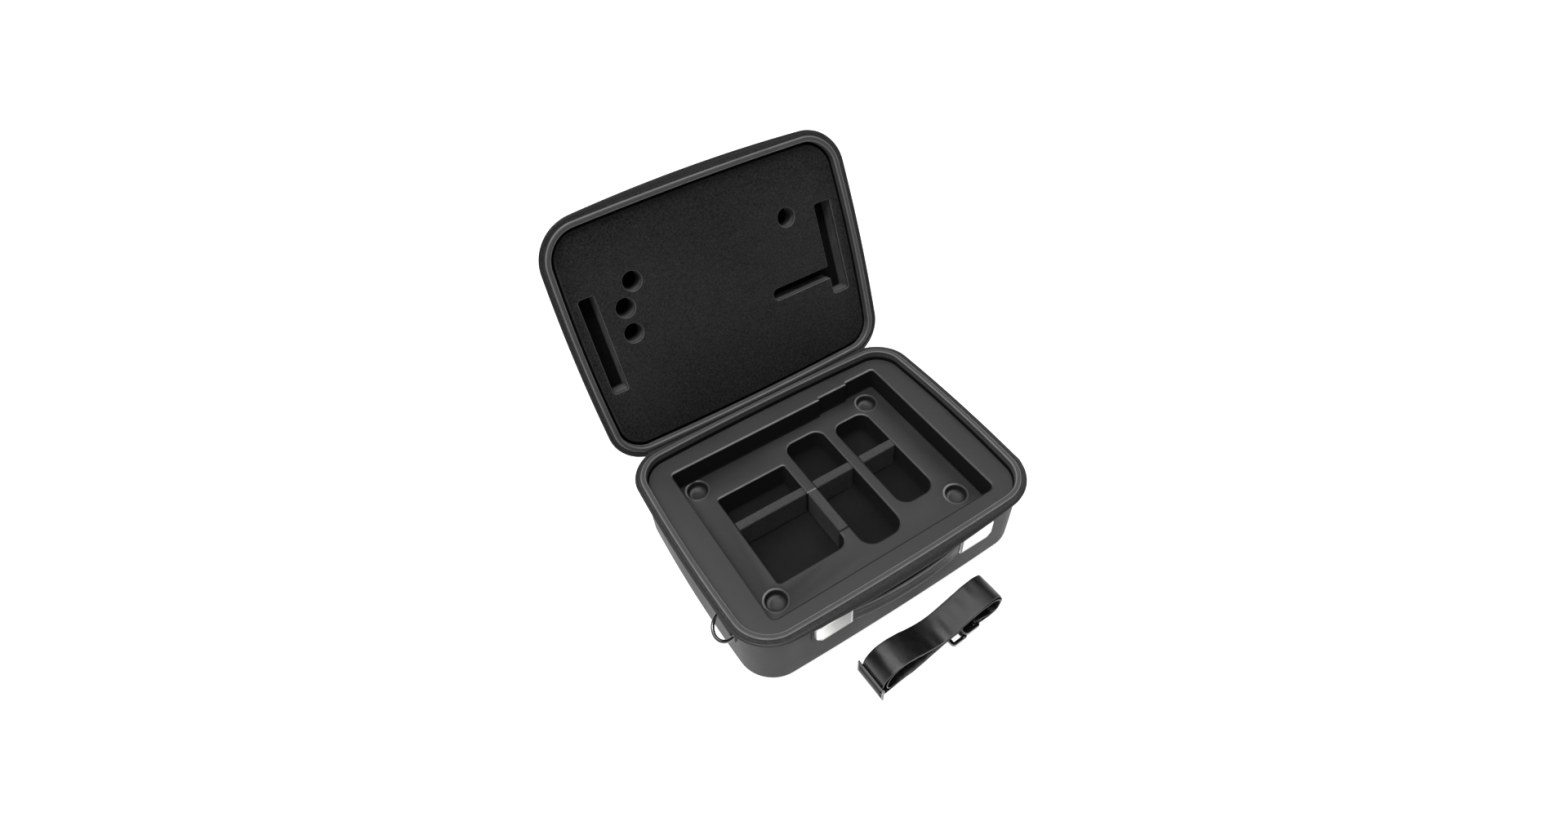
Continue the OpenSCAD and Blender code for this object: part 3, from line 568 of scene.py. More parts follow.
def tapeShape(p, q, t, droop):
    # point t of the way from the bead (p) to the tape's edge (q), drooping where the front tape flares
    flare = 0.0
    if p[1] <= zipper["flareY"]:
        across = max(0.0, 1 - (p[0] / zipper["flareX"]) ** 2)
        flare = across * min(1.0, (p[1] - zipper["flareY"]) / zipper["flareY"])
    reach = t * (1 + zipper["flareReach"] * flare)
    x, y = p[0] + (q[0] - p[0]) * reach, p[1] + (q[1] - p[1]) * reach
    return x, y, -droop * (t ** 1.5) * (0.25 + 1.1 * flare)


def zipTape(name, z, side, droop, place, body, node, inner, outer, run):
    parts = MeshParts()
    columns = zipper["columns"]
    sheets = []
    for up in zipper["sheets"]:
        rows = []
        for c in range(columns + 1):
            shape = [tapeShape(p, q, c / columns, droop) for p, q in zip(inner, outer)]
            rows.append(parts.add([place((x, y, z + side * (dz - zipper["below"] + up)))
                                   for x, y, dz in shape]))
        sheets.append(rows)
    for rows, turned in ((sheets[0], side > 0), (sheets[1], side < 0)):
        parts.skin(rows, lambda k, c: (run[k] * mm, c * zipper["columnUv"]), closed=False, turned=turned)
    parts.skin([sheets[0][-1], sheets[1][-1]], closed=False)
    makePiece(name, parts, mat["tape"], body, replaces=[node], sharp=50)


def zipCoil(name, z, side, droop, place, body, node, inner, outer, run):
    # one small loop of coil after another along the tape's outer half
    parts = MeshParts()
    walked, k = 0.0, 0
    while walked < run[len(inner) - 1]:
        while run[k + 1] < walked:
            k += 1
        share = (walked - run[k]) / max(run[k + 1] - run[k], 1e-6)
        p, q = (tuple(a + (b - a) * share for a, b in zip(row[k], row[k + 1])) for row in (inner, outer))
        along = Vector([b - a for a, b in zip(outer[k], outer[k + 1])]).normalized() * zipper["coilHalf"]
        outline = []
        for t, up in zipper["coil"]:
            x, y, dz = tapeShape(p, q, t, droop)
            outline.append((x, y, z + side * (dz - zipper["coilBelow"] + up)))
        near, far = (parts.add([place((x + s * along.x, y + s * along.y, h)) for x, y, h in outline])
                     for s in (-1, 1))
        parts.skin([near, far], closed=False, turned=side < 0)
        parts.face(near[::-1] if side > 0 else near)
        parts.face(far if side > 0 else far[::-1])
        walked += zipper["pitch"]
    makePiece(name, parts, mat["teeth"], body, replaces=[node], sharp=75)


inner, outer = rowPath(zipper["inner"]), rowPath(zipper["outer"])
run = lengthsAlong(outer)
for half, z, side, droop, place in (("base", case["rimZ"], 1, zipper["droop"], asBuilt),
                                    ("lid", lidRimZ, -1, zipper["lidDroop"], openLid)):
    zipTape(half + "ZipTape", z, side, droop, place, half, half + "_tape", inner, outer, run)
    zipCoil(half + "ZipTeeth", z, side, droop, place, half, half + "_teeth", inner, outer, run)
print("rims made")


# hinge strip
# y and z from the hinge line; lift: how far the cloth's middle stands off a wall; half: half its thickness
strip = dict(wallY=-2.25, lift=0.65, half=0.55, pastBead=2.7, baseHalf=98.0, rimHalf=152.0, steps=5, cells=40,
             bowHalf=175.0, cornerX=144.0, cornerCurve=62.0, cellUv=0.0049, rowUv=0.001)


def lidPoint(t, out):
    # t up the open lid's wall from the hinge line, and out from it
    y, z = strip["wallY"] + out, t
    return (y * math.cos(lidTurn) + z * math.sin(lidTurn), z * math.cos(lidTurn) - y * math.sin(lidTurn))


def hingeStripPiece():
    wallY, lift, past = strip["wallY"], strip["lift"], strip["pastBead"]
    lidLow = lidRimZ - case["hingeZ"]
    path = [(wallY + lift, -9), (wallY + lift, -5), (wallY + lift, -2), (wallY + 2, 0.6), (2.6, 0.4),
            (6, -1.9), lidPoint(lidLow - 2, past + 0.3), lidPoint(lidLow + 1, past),
            lidPoint(lidLow + 4.5, lift + 0.8), lidPoint(lidLow + 7, lift), lidPoint(lidLow + 13, lift)]
    line = smoothCurve(path, strip["steps"])
    normals = curveNormals(line)
    cells = strip["cells"]
    parts = MeshParts()
    sides = []
    for s in (strip["half"], -strip["half"]):
        rows = []
        for i, (p, normal) in enumerate(zip(line, normals)):
            y, z = case["hingeY"] + p[0] + normal[0] * s, case["hingeZ"] + p[1] + normal[1] * s
            # narrower on the base's wall, where the zip's ends lie beside it
            half = strip["baseHalf"] if i < 2 * strip["steps"] else strip["rimHalf"]
            # 0 on the base's wall, 1 on the lid's
            share = min(1.0, max(0.0, (i / strip["steps"] - 3) / 3))
            row = []
            for k in range(cells + 1):
                x = half * (2 * k / cells - 1)
                # both walls curve away from the hinge line towards their corners
                back = case["backBow"] * (x / strip["bowHalf"]) ** 2
                back += max(0.0, abs(x) - strip["cornerX"]) ** 2 / strip["cornerCurve"]
                row.append((x, y - back * (1 - share + share * math.cos(lidTurn)),
                            z + back * share * math.sin(lidTurn)))
            rows.append(parts.add(row))
        sides.append(rows)
    front, rear = sides
    for rows, turned in ((front, False), (rear, True)):
        parts.skin(rows, lambda k, i: (k * strip["cellUv"], i * strip["rowUv"]), closed=False, turned=turned)
    for k in (0, cells):
        parts.skin([[row[k] for row in front], [row[k] for row in rear]], closed=False, turned=k != 0)
    for i in (0, -1):
        parts.skin([front[i], rear[i]], closed=False, turned=i == 0)
    piece = makePiece("hingeStrip", parts, mat["tape"], None, replaces=["hinge_strip"],
                      sharp=50)
    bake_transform(piece)


hingeStripPiece()
print("hinge strip made")


# tray
# edges and feet are radii; notchY: where the gap between the two left columns begins and ends
# rollHighlight, edgeHighlight and pocketHighlight: strengths of painted highlights on rolled edges
tray = dict(flange=85.0, recess=53.0, pocket=16.0, out=3.45, low=(50.0, 66.0), roll=3.2, rollHighlight=0.12,
            edge=2.4, edgeHighlight=0.8, foot=5.0, pocketEdge=2.2, pocketHighlight=0.7, pocketFoot=10.5, leftFoot=3.5,
            sideX=144, splitX=-11.5, leftX=-63.75, midX=21.75, notchY=(-45, 18))
recessLoop = [(-144, -110, 7), (144, -110, 7), (144, 113, 4), (102, 113, 2), (102, 110, 1.0), (60, 110, 2),
              (60, 107, 1.0), (-144, 107, 4)]
leftPockets = [(-109, -63, 4), (-18.5, -63, 12), (-18.5, -45, 1.5), (-4.5, -45, 1.5), (-4.5, -80, 16.9),
               (48, -80, 16.9), (48, 92, 13), (-4.5, 92, 13), (-4.5, 18, 1.5), (-18.5, 18, 1.5),
               (-18.5, 69, 3), (-109, 69, 3)]
rightPockets = [(62, -57, 15), (110, -57, 15), (110, 84, 13), (62, 84, 13)]

# profile: each ring's growth from the radius and its height; spots: x, y and the wall that cuts the ring off
# lightFrom: direction of the painted highlights on the roll and at the foot; rollHighlight, footHighlight:
# their strengths; footRing: the ring at the foot
well = dict(r=12.2, lightFrom=120, rollHighlight=0.5, footHighlight=0.35, footRing=9,
            spots=((-121.5, -78, 0), (121.5, -78, 0), (-121.5, 93.3, 106.1), (121.5, 93.5, 112.1)),
            profile=((3.6, 0.0), (3.0, 0.3), (2.2, 0.75), (1.3, 0.85), (0.5, 0.5), (0.0, -0.3), (-0.3, -1.4),
                     (-0.7, -3.4), (-1.6, -5.4), (-3.4, -7.2), (-6.0, -8.4), (-9.0, -8.9)))


def clip(v):
    return min(1.0, max(0.0, v))


def edgeRings(parts, corners, top, r, lightening, steps=8):
    # rings that roll from the flat face at top over into a wall below it
    facing = []
    for p, q in zip(roundedLoop(corners), roundedLoop(corners, 1)):
        d = Vector((q[0] - p[0], q[1] - p[1])).normalized()
        # painted highlight is strongest on the back edge, and painted shade darkest on the front edge, which
        # turns from the light
        facing.append((0.06 + 0.94 * max(0.0, d.y) ** 1.5 + 0.22 * max(0.0, d.x), 1.3 * max(0.0, -d.y)))
    rings = []
    for i in range(steps + 1):
        a = math.pi / 2 * i / steps
        s = math.sin(a)
        ids = parts.add([(x, y, top - r * (1 - math.cos(a))) for x, y in roundedLoop(corners, r * (1 - s))])
        for k, (paintedHighlight, hidden) in zip(ids, facing):
            # painted highlight across the middle of the roll, painted shade growing down it into the wall
            parts.rim[k] = lightening * paintedHighlight * math.sin(2 * a) ** 2
            parts.deep[k] = min(1.0, s ** 2 + hidden * s ** 0.5)
        rings.append(ids)
    return rings


def footRings(parts, loopAt, heightAt, steps, paintedShadeEnd=1.0):
    # rings from a wall's foot round into the floor; loopAt and heightAt take the share of the radius passed
    rings = []
    for i in range(steps + 1):
        a = math.pi / 2 * i / steps
        # painted shade, full at the wall's foot and easing to the end value at the floor
        ids = parts.add([(x, y, heightAt(x, 1 - math.sin(a))) for x, y in loopAt(1 - math.cos(a))],
                        deep=1 + (paintedShadeEnd - 1) * i / steps)
        rings.append(ids)
    return rings


def recessFoot(share):
    # the recess's two side walls end in a curve outwards, and its front and back walls are plain
    outwards = tray["foot"] * share
    return roundedLoop([(x + math.copysign(outwards, x) if abs(x) == tray["sideX"] else x, y, r)
                        for x, y, r in recessLoop])


def leftPocketFoot(share):
    # both left columns shrink towards their own middle, and the gap between them keeps its width
    corners = []
    for x, y, r in leftPockets:
        inLeft = x < tray["splitX"]
        shrink = share * tray["leftFoot" if inLeft else "pocketFoot"]
        x += math.copysign(shrink, tray["leftX" if inLeft else "midX"] - x)
        if y in tray["notchY"]:
            corners.append((x, y, 1.2))
        else:
            corners.append((x, y - math.copysign(shrink, y), max(r - shrink, 0.8)))
    return roundedLoop(corners)


def pocketRings(parts, corners):
    rings = edgeRings(parts, corners, tray["recess"], tray["pocketEdge"], tray["pocketHighlight"])
    if corners is leftPockets:
        def heightAt(x, share):
            return tray["pocket"] + share * tray["leftFoot" if x < tray["splitX"] else "pocketFoot"]
        return rings + footRings(parts, leftPocketFoot, heightAt, 7)
    return rings + footRings(parts, lambda share: roundedLoop(corners, -share * tray["pocketFoot"]),
                             lambda x, share: tray["pocket"] + share * tray["pocketFoot"], 7)


def wellRings(parts, wx, wy, wall):
    rings = []
    for i, (grow, dz) in enumerate(well["profile"]):
        loop = [(x, min(y, wall) if wy > 0 else y, tray["recess"] + dz)
                for x, y in circleLoop(wx, wy, well["r"] + grow)]
        # painted shade on the walls, none on the floor
        ids = parts.add(loop, deep=clip((0.6 - dz) / 2.5) * clip((dz + 8.2) / 2.5))
        for j, k in enumerate(ids):
            # painted highlight on the raised roll and the floor's foot, on the side towards the back left where
            # they catch light
            toward = max(0.0, math.cos(2 * math.pi * j / len(ids) - math.radians(well["lightFrom"])))
            if dz > 0.4:
                parts.rim[k] = 0.04 + well["rollHighlight"] * toward
            elif i == well["footRing"]:
                parts.rim[k] = well["footHighlight"] * toward
        rings.append(ids)
    return rings


def trayPiece():
    parts = MeshParts()
    roll = tray["roll"]
    outer = [parts.add([(x, y, z) for x, y in caseOutline(tray["out"])])
             for z in tray["low"] + (tray["flange"] - roll,)]
    for i in range(1, 8):
        a = math.pi / 2 * i / 7
        # painted highlight across the flange's outer roll
        outer.append(parts.add([(x, y, tray["flange"] - roll * (1 - math.sin(a)))
                                for x, y in caseOutline(tray["out"] + roll * (1 - math.cos(a)))],
                               tray["rollHighlight"] * math.sin(2 * a)))
    parts.skin(outer)
    recess = edgeRings(parts, recessLoop, tray["flange"], tray["edge"], tray["edgeHighlight"])
    parts.fill(outer[-1], [recess[0]], (0, 0, 1))
    recess += footRings(parts, recessFoot, lambda x, share: tray["recess"] + share * tray["foot"], 6, 0.0)
    parts.skin(recess)
    hollows = [pocketRings(parts, corners) for corners in (leftPockets, rightPockets)]
    hollows += [wellRings(parts, *spot) for spot in well["spots"]]
    for rings in hollows:
        parts.skin(rings)
        parts.fill(rings[-1], [], (0, 0, 1))
    parts.fill(recess[-1], [rings[0] for rings in hollows], (0, 0, 1))
    makePiece("trayMolding", parts, mat["tray"], "base", replaces=["tray"], sharp=42)


trayPiece()
print("tray made")


# foam dividers
# low and high corners in x and y, and where in the unevenness the block lies
# cell: size of a face's cells; waves: how dense and how high; seed: makes each run cut the same foam
dividers = dict(Left=((-108.6, 18.4), (-18.9, 29.6), 1.0), Mid=((-4.1, 18.4), (47.6, 29.6), 5.0),
                Right=((62.4, 18.4), (109.6, 29.6), 9.0), Front=((-17.7, -44.6), (-5.3, 17.6), 13.0))
divider = dict(z=(16.5, 53.0), cell=1.6, softened=0.25, fineWave=(0.45, 0.16), broadWave=(0.06, 0.18),
               seed=7)


def foamBlock(name, low, high, body, shift):
    # cut foam: fine uneven faces and slightly torn edges
    bm = bmesh.new()
    sizes = [b - a for a, b in zip(low, high)]
    counts = [max(2, round(s / divider["cell"])) for s in sizes]
    made = {}

    def vertAt(key):
        if key not in made:
            p = Vector([a + s * i / m for a, s, i, m in zip(low, sizes, key, counts)])
            # an edge lies on two faces of the block, and a corner on three
            faces = sum(1 for i, m in zip(key, counts) if i in (0, m))
            soft = divider["softened"] * (faces - 1)
            q = Vector([c if 0 < i < m else c + (soft if i == 0 else -soft)
                        for c, i, m in zip(p, key, counts)])
            fine, fineHigh = divider["fineWave"]
            broad, broadHigh = divider["broadWave"]
            wobble = noise.noise_vector(p * fine + Vector((shift, 0, 0))) * fineHigh
            wobble += noise.noise_vector(p * broad + Vector((0, shift, 0))) * broadHigh
            made[key] = bm.verts.new((q + wobble) * mm)
        return made[key]

    for axis in range(3):
        u, v = [a for a in range(3) if a != axis]
        for end in (0, counts[axis]):
            for i in range(counts[u]):
                for j in range(counts[v]):
                    corners = []
                    for a, b in ((i, j), (i + 1, j), (i + 1, j + 1), (i, j + 1)):
                        key = [end, end, end]
                        key[u], key[v] = a, b
                        corners.append(vertAt(tuple(key)))
                    if (end == 0) != (axis == 1):
                        corners.reverse()
                    bm.faces.new(corners)
    bmesh.ops.recalc_face_normals(bm, faces=bm.faces[:])
    for f in bm.faces:
        f.smooth = True
    mesh = bpy.data.meshes.new(name)
    bm.to_mesh(mesh)
    bm.free()
    obj = placePiece(bpy.data.objects.new(name, mesh), mat["cutFoam"], body, [body])


noise.seed_set(divider["seed"])
for word, (low, high, shift) in dividers.items():
    foamBlock("divider" + word, low + divider["z"][:1], high + divider["z"][1:],
              "divider_" + word.lower(), shift)
print("dividers made")


# lid foam
# heights are those of the shut lid; lip: radius of a cut's edge
# sides: growth, height above the face, lightening for the lighter cut foam, and painted shade of the rings down
# a cut's wall
foam = dict(face=103.7, back=131.0, inset=6.5, edge=2.2, edgeHighlight=0.3, lip=1.1, holeR=11.0,
            outer=((9.0, 0.0), (3.0, -3.0), (0.0, -9.0)),
            holes=((-116.4, -0.9), (-115.6, -30.7), (-98.7, -55.5), (99.0, -57.0)),
            sides=((0.0, 6.0, 0.9, 0.0), (-0.3, 18.5, 0.7, 0.3), (-1.6, 20.0, 0.0, 1.0)))
wideSlot = [(138, -58.5, 3), (160, -58.5, 3), (160, 54.5, 3), (138, 54.5, 3), (138, 33, 1.5), (58, 33, 6.9),
            (58, 19, 6.9), (138, 19, 1.5)]
leftSlot = [(-162, -56.5, 3.5), (-144, -56.5, 2), (-144, 56.5, 2), (-162, 56.5, 3.5)]


def lidFoamPiece():
    parts = MeshParts()
    face, edge, inset, lip = foam["face"], foam["edge"], foam["inset"], foam["lip"]
    down = (0.0, -math.sin(lidTurn), -math.cos(lidTurn))

    def ringAt(loop, z, rim=0.0, deep=0.0):
        return parts.add([openLid((x, y, z)) for x, y in loop], rim, deep)

    outer = [ringAt(caseOutline(inset + more), foam["back"] + dz) for more, dz in foam["outer"]]
    outer.append(ringAt(caseOutline(inset), face + edge))
    # the face's rounded outer edge, with a painted highlight across it
    for i in range(1, 6):
        a = math.pi / 2 * i / 5
        outer.append(ringAt(caseOutline(inset + edge * (1 - math.cos(a))), face + edge * (1 - math.sin(a)),
                            foam["edgeHighlight"] * math.sin(2 * a)))
    parts.skin(outer)
    cuts = [lambda g: roundedLoop(wideSlot, g), lambda g: roundedLoop(leftSlot, g)]
    cuts += [lambda g, x=x, y=y: circleLoop(x, y, foam["holeR"] + g, 56) for x, y in foam["holes"]]
    mouths = []
    for loopAt in cuts:
        rings = []
        for i in range(5):
            a = math.pi / 2 * i / 4
            rings.append(ringAt(loopAt(lip * (1 - math.sin(a))), face + lip * (1 - math.cos(a)),
                                0.9 * math.sin(2 * a) + 0.1))
        # down the cut's wall: lighter cut foam, then painted shade at the floor
        rings += [ringAt(loopAt(grow), face + dz, rim, deep) for grow, dz, rim, deep in foam["sides"]]
        parts.skin(rings)
        parts.fill(rings[-1], [], down)
        mouths.append(rings[0])
    parts.fill(outer[-1], mouths, down)
    piece = makePiece("lidFoam", parts, mat["felt"], "lid", replaces=["lid_foam"], sharp=42)


lidFoamPiece()
print("lid foam made")


# handle
# sizes are the right cap's; face: the pads' outer face; step: inset and outward reach of its rings
cap = dict(x=92.0, z=71.0, face=-137.73, w=44.0, h=29.0, cornerR=1.6, hollow=1.8, hollowR=1.2,
           lip=0.1, deep=4.0,
           step=((0.0, 0.1), (0.0, 3.6), (0.35, 4.6), (1.1, 5.3), (2.0, 5.7), (2.6, 5.7),
                 (2.9, 5.45), (3.3, 5.45)))


def capPiece(name, s, node):
    # bevelled shallow tray with a fine step round its face
    w, h = cap["w"] / 2, cap["h"] / 2
    outline = [(-w, -h), (w - 6, -h), (w, 7 - h), (w, h - 4), (w - 3, h), (-w, h)]
    parts = MeshParts()

    def ringAt(inset, reach, cornerR):
        loop = roundedLoop([(x, z, cornerR) for x, z in outline], -inset, 4)
        return parts.add([(s * (cap["x"] + x), cap["face"] - reach, cap["z"] + z) for x, z in loop])

    rings = [ringAt(inset, reach, cap["cornerR"]) for inset, reach in cap["step"]]
    lip, deep = (ringAt(cap["hollow"], reach, cap["hollowR"]) for reach in (cap["lip"], cap["deep"]))
    parts.skin([deep, lip] + rings)
    parts.capBoth([deep] + rings)
    makePiece(name, parts, mat["cap"], "base", replaces=[node], sharp=32, flip=s < 0)


# endX: where the free band meets the cap; bow: how far its middle stands out; dips: the face's grooves
# paintedHighlight: width of the painted highlight band along the top and bottom of the face
grip = dict(y=-139.53, z=67.0, endX=69.0, bow=6.0, thick=5.0, tall=24.0, endThick=3.0, endTall=18.0, endUp=3.0,
            hidden=(105, 95, 85, 76, 71), steps=34, easeX=62.0, edgeR=2.2, grooveIn=3.6, groove=0.75,
            grooveWide=0.55, dish=0.18, dishWide=3.0, paintedHighlight=3.0, uvStep=0.0006)


def gripSection(thick, tall):
    # closed section in (out, up): rounded band with a groove along each edge of its face
    r = min(thick / 2 - 0.05, grip["edgeR"])
    x, z = thick / 2 - r, tall / 2 - r
    points = arc(x, z, r, 0, 90, 6) + arc(-x, z, r, 90, 90, 6) + arc(-x, -z, r, 180, 90, 6)
    points += arc(x, -z, r, 270, 90, 6)
    for i in range(41):
        up = (z - 0.3) * (i / 20 - 1)
        edge = abs(up) - (tall / 2 - grip["grooveIn"])
        dip = grip["groove"] * math.exp(-(edge / grip["grooveWide"]) ** 2)
        dip += grip["dish"] * math.exp(-(up / grip["dishWide"]) ** 2)
        points.append((thick / 2 - dip * min(1, thick / 5), up))
    return points


def gripHalf(name, s, nodes):
    # half the band, from inside a cap to the middle
    parts = MeshParts()
    rows, walked = [], []
    free = [grip["endX"] * (1 - i / grip["steps"]) for i in range(grip["steps"] + 1)]
    for x in list(grip["hidden"]) + free:
        t = min(x / grip["endX"], 1.0)
        bow = grip["bow"] * (1 - t * t)
        thick, tall, up = grip["endThick"], grip["endTall"], grip["endUp"]
        if x <= grip["endX"]:
            ease = max(0.0, (x - grip["easeX"]) / (grip["endX"] - grip["easeX"]))
            thick, tall, up = grip["thick"] - 1.2 * ease ** 2, grip["tall"] - 3.0 * ease ** 2, 0.6 * ease
        highlightFrom = (grip["tall"] if x <= grip["endX"] else tall) / 2 - grip["paintedHighlight"]
        section = gripSection(thick, tall)
        ids = parts.add([(s * x, grip["y"] - bow - out, grip["z"] + up + high) for out, high in section])
        # painted highlight along the top and bottom of the band's face
        for k, (out, high) in zip(ids, section):
            if abs(high) > highlightFrom and out > 0.6:
                parts.rim[k] = 0.9
        rows.append(ids)
        walked.append(grip["hidden"][0] - x)
    parts.skin(rows, lambda j, i: (walked[i] * mm, j * grip["uvStep"]))
    parts.face(rows[0][::-1])
    half = makePiece(name, parts, mat["grip"], None, replaces=nodes, sharp=60, flip=s < 0)
    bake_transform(half)


bothSides = ((-1, "Left"), (1, "Right"))
for s, word in bothSides:
    capPiece("cap" + word, s, "cap_" + word.lower())
for s, word in bothSides:
    gripHalf("gripHalf" + word, s, ["grip_end_" + word.lower(), "grip"])
print("handle made")


# rings and tabs
def sweepTube(parts, path, radius, segs=16, closed=False, squeeze=None):
    # round tube along a path; squeeze gives the radius's share at a share of the length
    pts = [Vector(p) for p in path]
    n = len(pts)
    tangents = []
    for i in range(n):
        if closed:
            ahead, behind = pts[(i + 1) % n], pts[i - 1]
        else:
            ahead, behind = pts[min(i + 1, n - 1)], pts[max(i - 1, 0)]
        tangents.append((ahead - behind).normalized())
    up = Vector((0, 0, 1)) if abs(tangents[0].z) < 0.9 else Vector((1, 0, 0))
    normal = tangents[0].cross(up).normalized()
    turns = [2 * math.pi * k / segs for k in range(segs)]
    rows = []
    for i in range(n):
        normal = (normal - tangents[i] * normal.dot(tangents[i])).normalized()
        side = tangents[i].cross(normal)
        r = radius * (squeeze(i / (n - 1)) if squeeze else 1)
        rows.append(parts.add([pts[i] + (normal * math.cos(a) + side * math.sin(a)) * r for a in turns]))
    if closed:
        parts.skin(rows + rows[:1])
    else:
        parts.skin(rows)
        parts.capBoth(rows)


# the ring's bar is at x, y, z; loopR: the round end's radius; half: half the bar's straight length
ring = dict(x=183.19, y=-88.5, z=86.0, tilt=35.0, wire=1.98, cornerR=2.5, loopR=15.0, half=12.5)
# bore: radius round the bar; section runs up the wall side, over the bar and down the outer side
tab = dict(bore=2.08, thick=1.5, drop=20.0, wide=24.0, cells=12, pinch=0.12, cellUv=0.002,
           inner=(-14.0, -8.0, -3.0),
           outer=((0.35, -4.2), (-0.35, -5.2), (-0.58, -6.4), (-0.58, -10.0), (-0.58, -15.0)),
           seamRows=(-8.2, -17.2), seamEdges=(-10.4, 10.4), stitch=(1.5, 0.34), stitchX=-0.5)


def fromBar(s, x, y, z):
    return (s * (ring["x"] + x), ring["y"] + y, ring["z"] + z)


def ringPiece(name, s, node):
    # flat D: straight bar, two small corners and a round end, then tilted about the bar
    c, half = ring["cornerR"], ring["half"]
    flat = [(0.0, half * (i / 6 - 1)) for i in range(13)]
    flat += arc(c, half, c, 180, -90, 6, 1) + arc(c, 0, ring["loopR"], 90, -180, 48, 1)
    flat += arc(c, -half, c, 270, -90, 6, 1)[:-1]
    a = math.radians(ring["tilt"])
    parts = MeshParts()
    path = [fromBar(s, x * math.cos(a), y, -x * math.sin(a)) for x, y in flat]
    sweepTube(parts, path, ring["wire"], 20, closed=True)
    makePiece(name, parts, mat["steel"], node, replaces=[node], sharp=70)


def seamPiece(name, spots, body):
    # short rounded threads, each from a point, a direction along the seam and the face's normal
    parts = MeshParts()
    length, thick = tab["stitch"]
    for p, d, out in spots:
        p, d, out = Vector(p), Vector(d), Vector(out)
        path = [p + d * (length * (t - 0.5)) + out * (0.22 * math.sin(math.pi * t) - 0.05)
                for t in (0, 0.2, 0.4, 0.6, 0.8, 1)]
        sweepTube(parts, path, thick / 2, 6, squeeze=lambda t: 0.55 + 0.45 * math.sin(math.pi * t))
    makePiece(name, parts, mat["thread"], body, sharp=80)


def tabPiece(name, s, node):
    # folded webbing: up the wall, round the bar and down again, sewn in a box
    back, drop = -tab["bore"] - tab["thick"], -tab["drop"]
    section = [(back, drop + 0.4)] + [(back, z) for z in tab["inner"]]
    section += arc(0, 0, -back, 180, -252, 21) + list(tab["outer"])
    section += [(-0.58, drop + 0.4), (-0.8, drop), (back + 0.2, drop)]
    run = lengthsAlong(section)
    cells = tab["cells"]
    parts = MeshParts()
    rows = []
    for k in range(cells + 1):
        y = tab["wide"] * (k / cells - 0.5)
        pinch = tab["pinch"] if k in (0, cells) else 0.0
        rows.append(parts.add([fromBar(s, x - (pinch if x > 0 else -pinch), y, z) for x, z in section]))
    parts.skin(rows, lambda i, k: (k * tab["cellUv"], run[i] * mm))
    parts.fill(rows[0], [], (0, -1, 0))
    parts.fill(rows[-1], [], (0, 1, 0))
    makePiece(name, parts, mat["tab"], "base", replaces=[node], sharp=50, flip=s < 0)
    x = tab["stitchX"]
    spots = [(fromBar(s, x, -9.6 + 2.4 * i, z), (0, 1, 0), (s, 0, 0))
             for z in tab["seamRows"] for i in range(9)]
    spots += [(fromBar(s, x, y, -9.4 - 2.3 * i), (0, 0, 1), (s, 0, 0))
              for y in tab["seamEdges"] for i in range(4)]
    seamPiece(name + "Seam", spots, "base")


for s, word in bothSides:
    ringPiece("ring" + word, s, "ring_" + word.lower())
    tabPiece("tab" + word, s, "tab_" + word.lower())
print("rings made")


# strap
# turn and origin place the folded strap on the floor; the slide's three bars are at slideX and barZ
# wrapR: how far the webbing's middle runs from a hook's bar; sway, buckle: size of the slow and quick waves
strap = dict(turn=2.3, origin=(0.0, -184.5), slideX=-79.5, barZ=(4, 12.5, 21), aside=2.75, wrapR=2.8,
             lowBar=(34.0, 4.2), highBar=(51.0, 10.5), wide=32.0, cells=16, half=0.7, seamRaise=0.08,
             heldWithin=8.0, freeBeyond=22.0, sway=1.5, buckle=(0.30, 0.22))
slide = dict(half=20.5, bar=1.3, cheek=1.4, past=2.2, pointed=0.35)


def onFloor(x, y, z):
    c, s = polar(1, strap["turn"])
    return (strap["origin"][0] + c * x - s * y, strap["origin"][1] + s * x + c * y, z)


def barWrap(bar):
    return arc(bar[0], bar[1], strap["wrapR"], -90, -180, 6)


def slideWeave():
    # over, behind and over the slide's three bars
    return [(strap["slideX"] + strap["aside"] * s, z) for s, z in zip((1, -1, 1), reversed(strap["barZ"]))]


# the route along the folded webbing in (x, z), from the end at the low hook to the end at the high hook
low, high = strap["lowBar"], strap["highBar"]
lowEnd = [(low[0] + 9, 1.5), (low[0] + 4, 1.4)] + barWrap(low)
rightOuter = [(39, 6.5), (46, 5.2), (52, 4.3), (60, 3), (68, 1.6), (76, 0.9), (82, 2.2), (86.3, 7.5), (88, 16),
              (87, 25), (82, 33.4), (74, 38), (65, 39), (54, 37.8), (40, 34.6), (25, 31), (12, 28.7), (5, 28.1)]
leftOuter = [(-4, 28.8), (-16, 31.6), (-30, 37), (-43, 41), (-55, 42), (-65, 39), (-72, 32.5), (-75.8, 26)]
leftOuter += slideWeave()
leftOuter += [(-73.4, 1.3), (-66, 0.85), (-55, 0.8), (-43, 0.8), (-33, 1.3), (-22, 4.2), (-12, 8.2), (0, 12.4)]
foldRun = [(7, 14.9), (14, 16.6), (22, 17.5), (28, 18.2), (30.7, 20.4), (28, 22.5), (22, 22.2), (12, 21.4),
           (4, 20.2)]
leftInner = [(-5, 18), (-15, 14.2), (-26, 9), (-37, 5.4), (-48, 3.9), (-58, 3.9), (-66, 5.6), (-70.4, 11.5),
             (-70.8, 19.5), (-67.4, 28), (-60.5, 34), (-52, 36), (-42, 35), (-30, 31.6), (-16, 27.3),
             (-4, 25.4), (5, 25.2)]
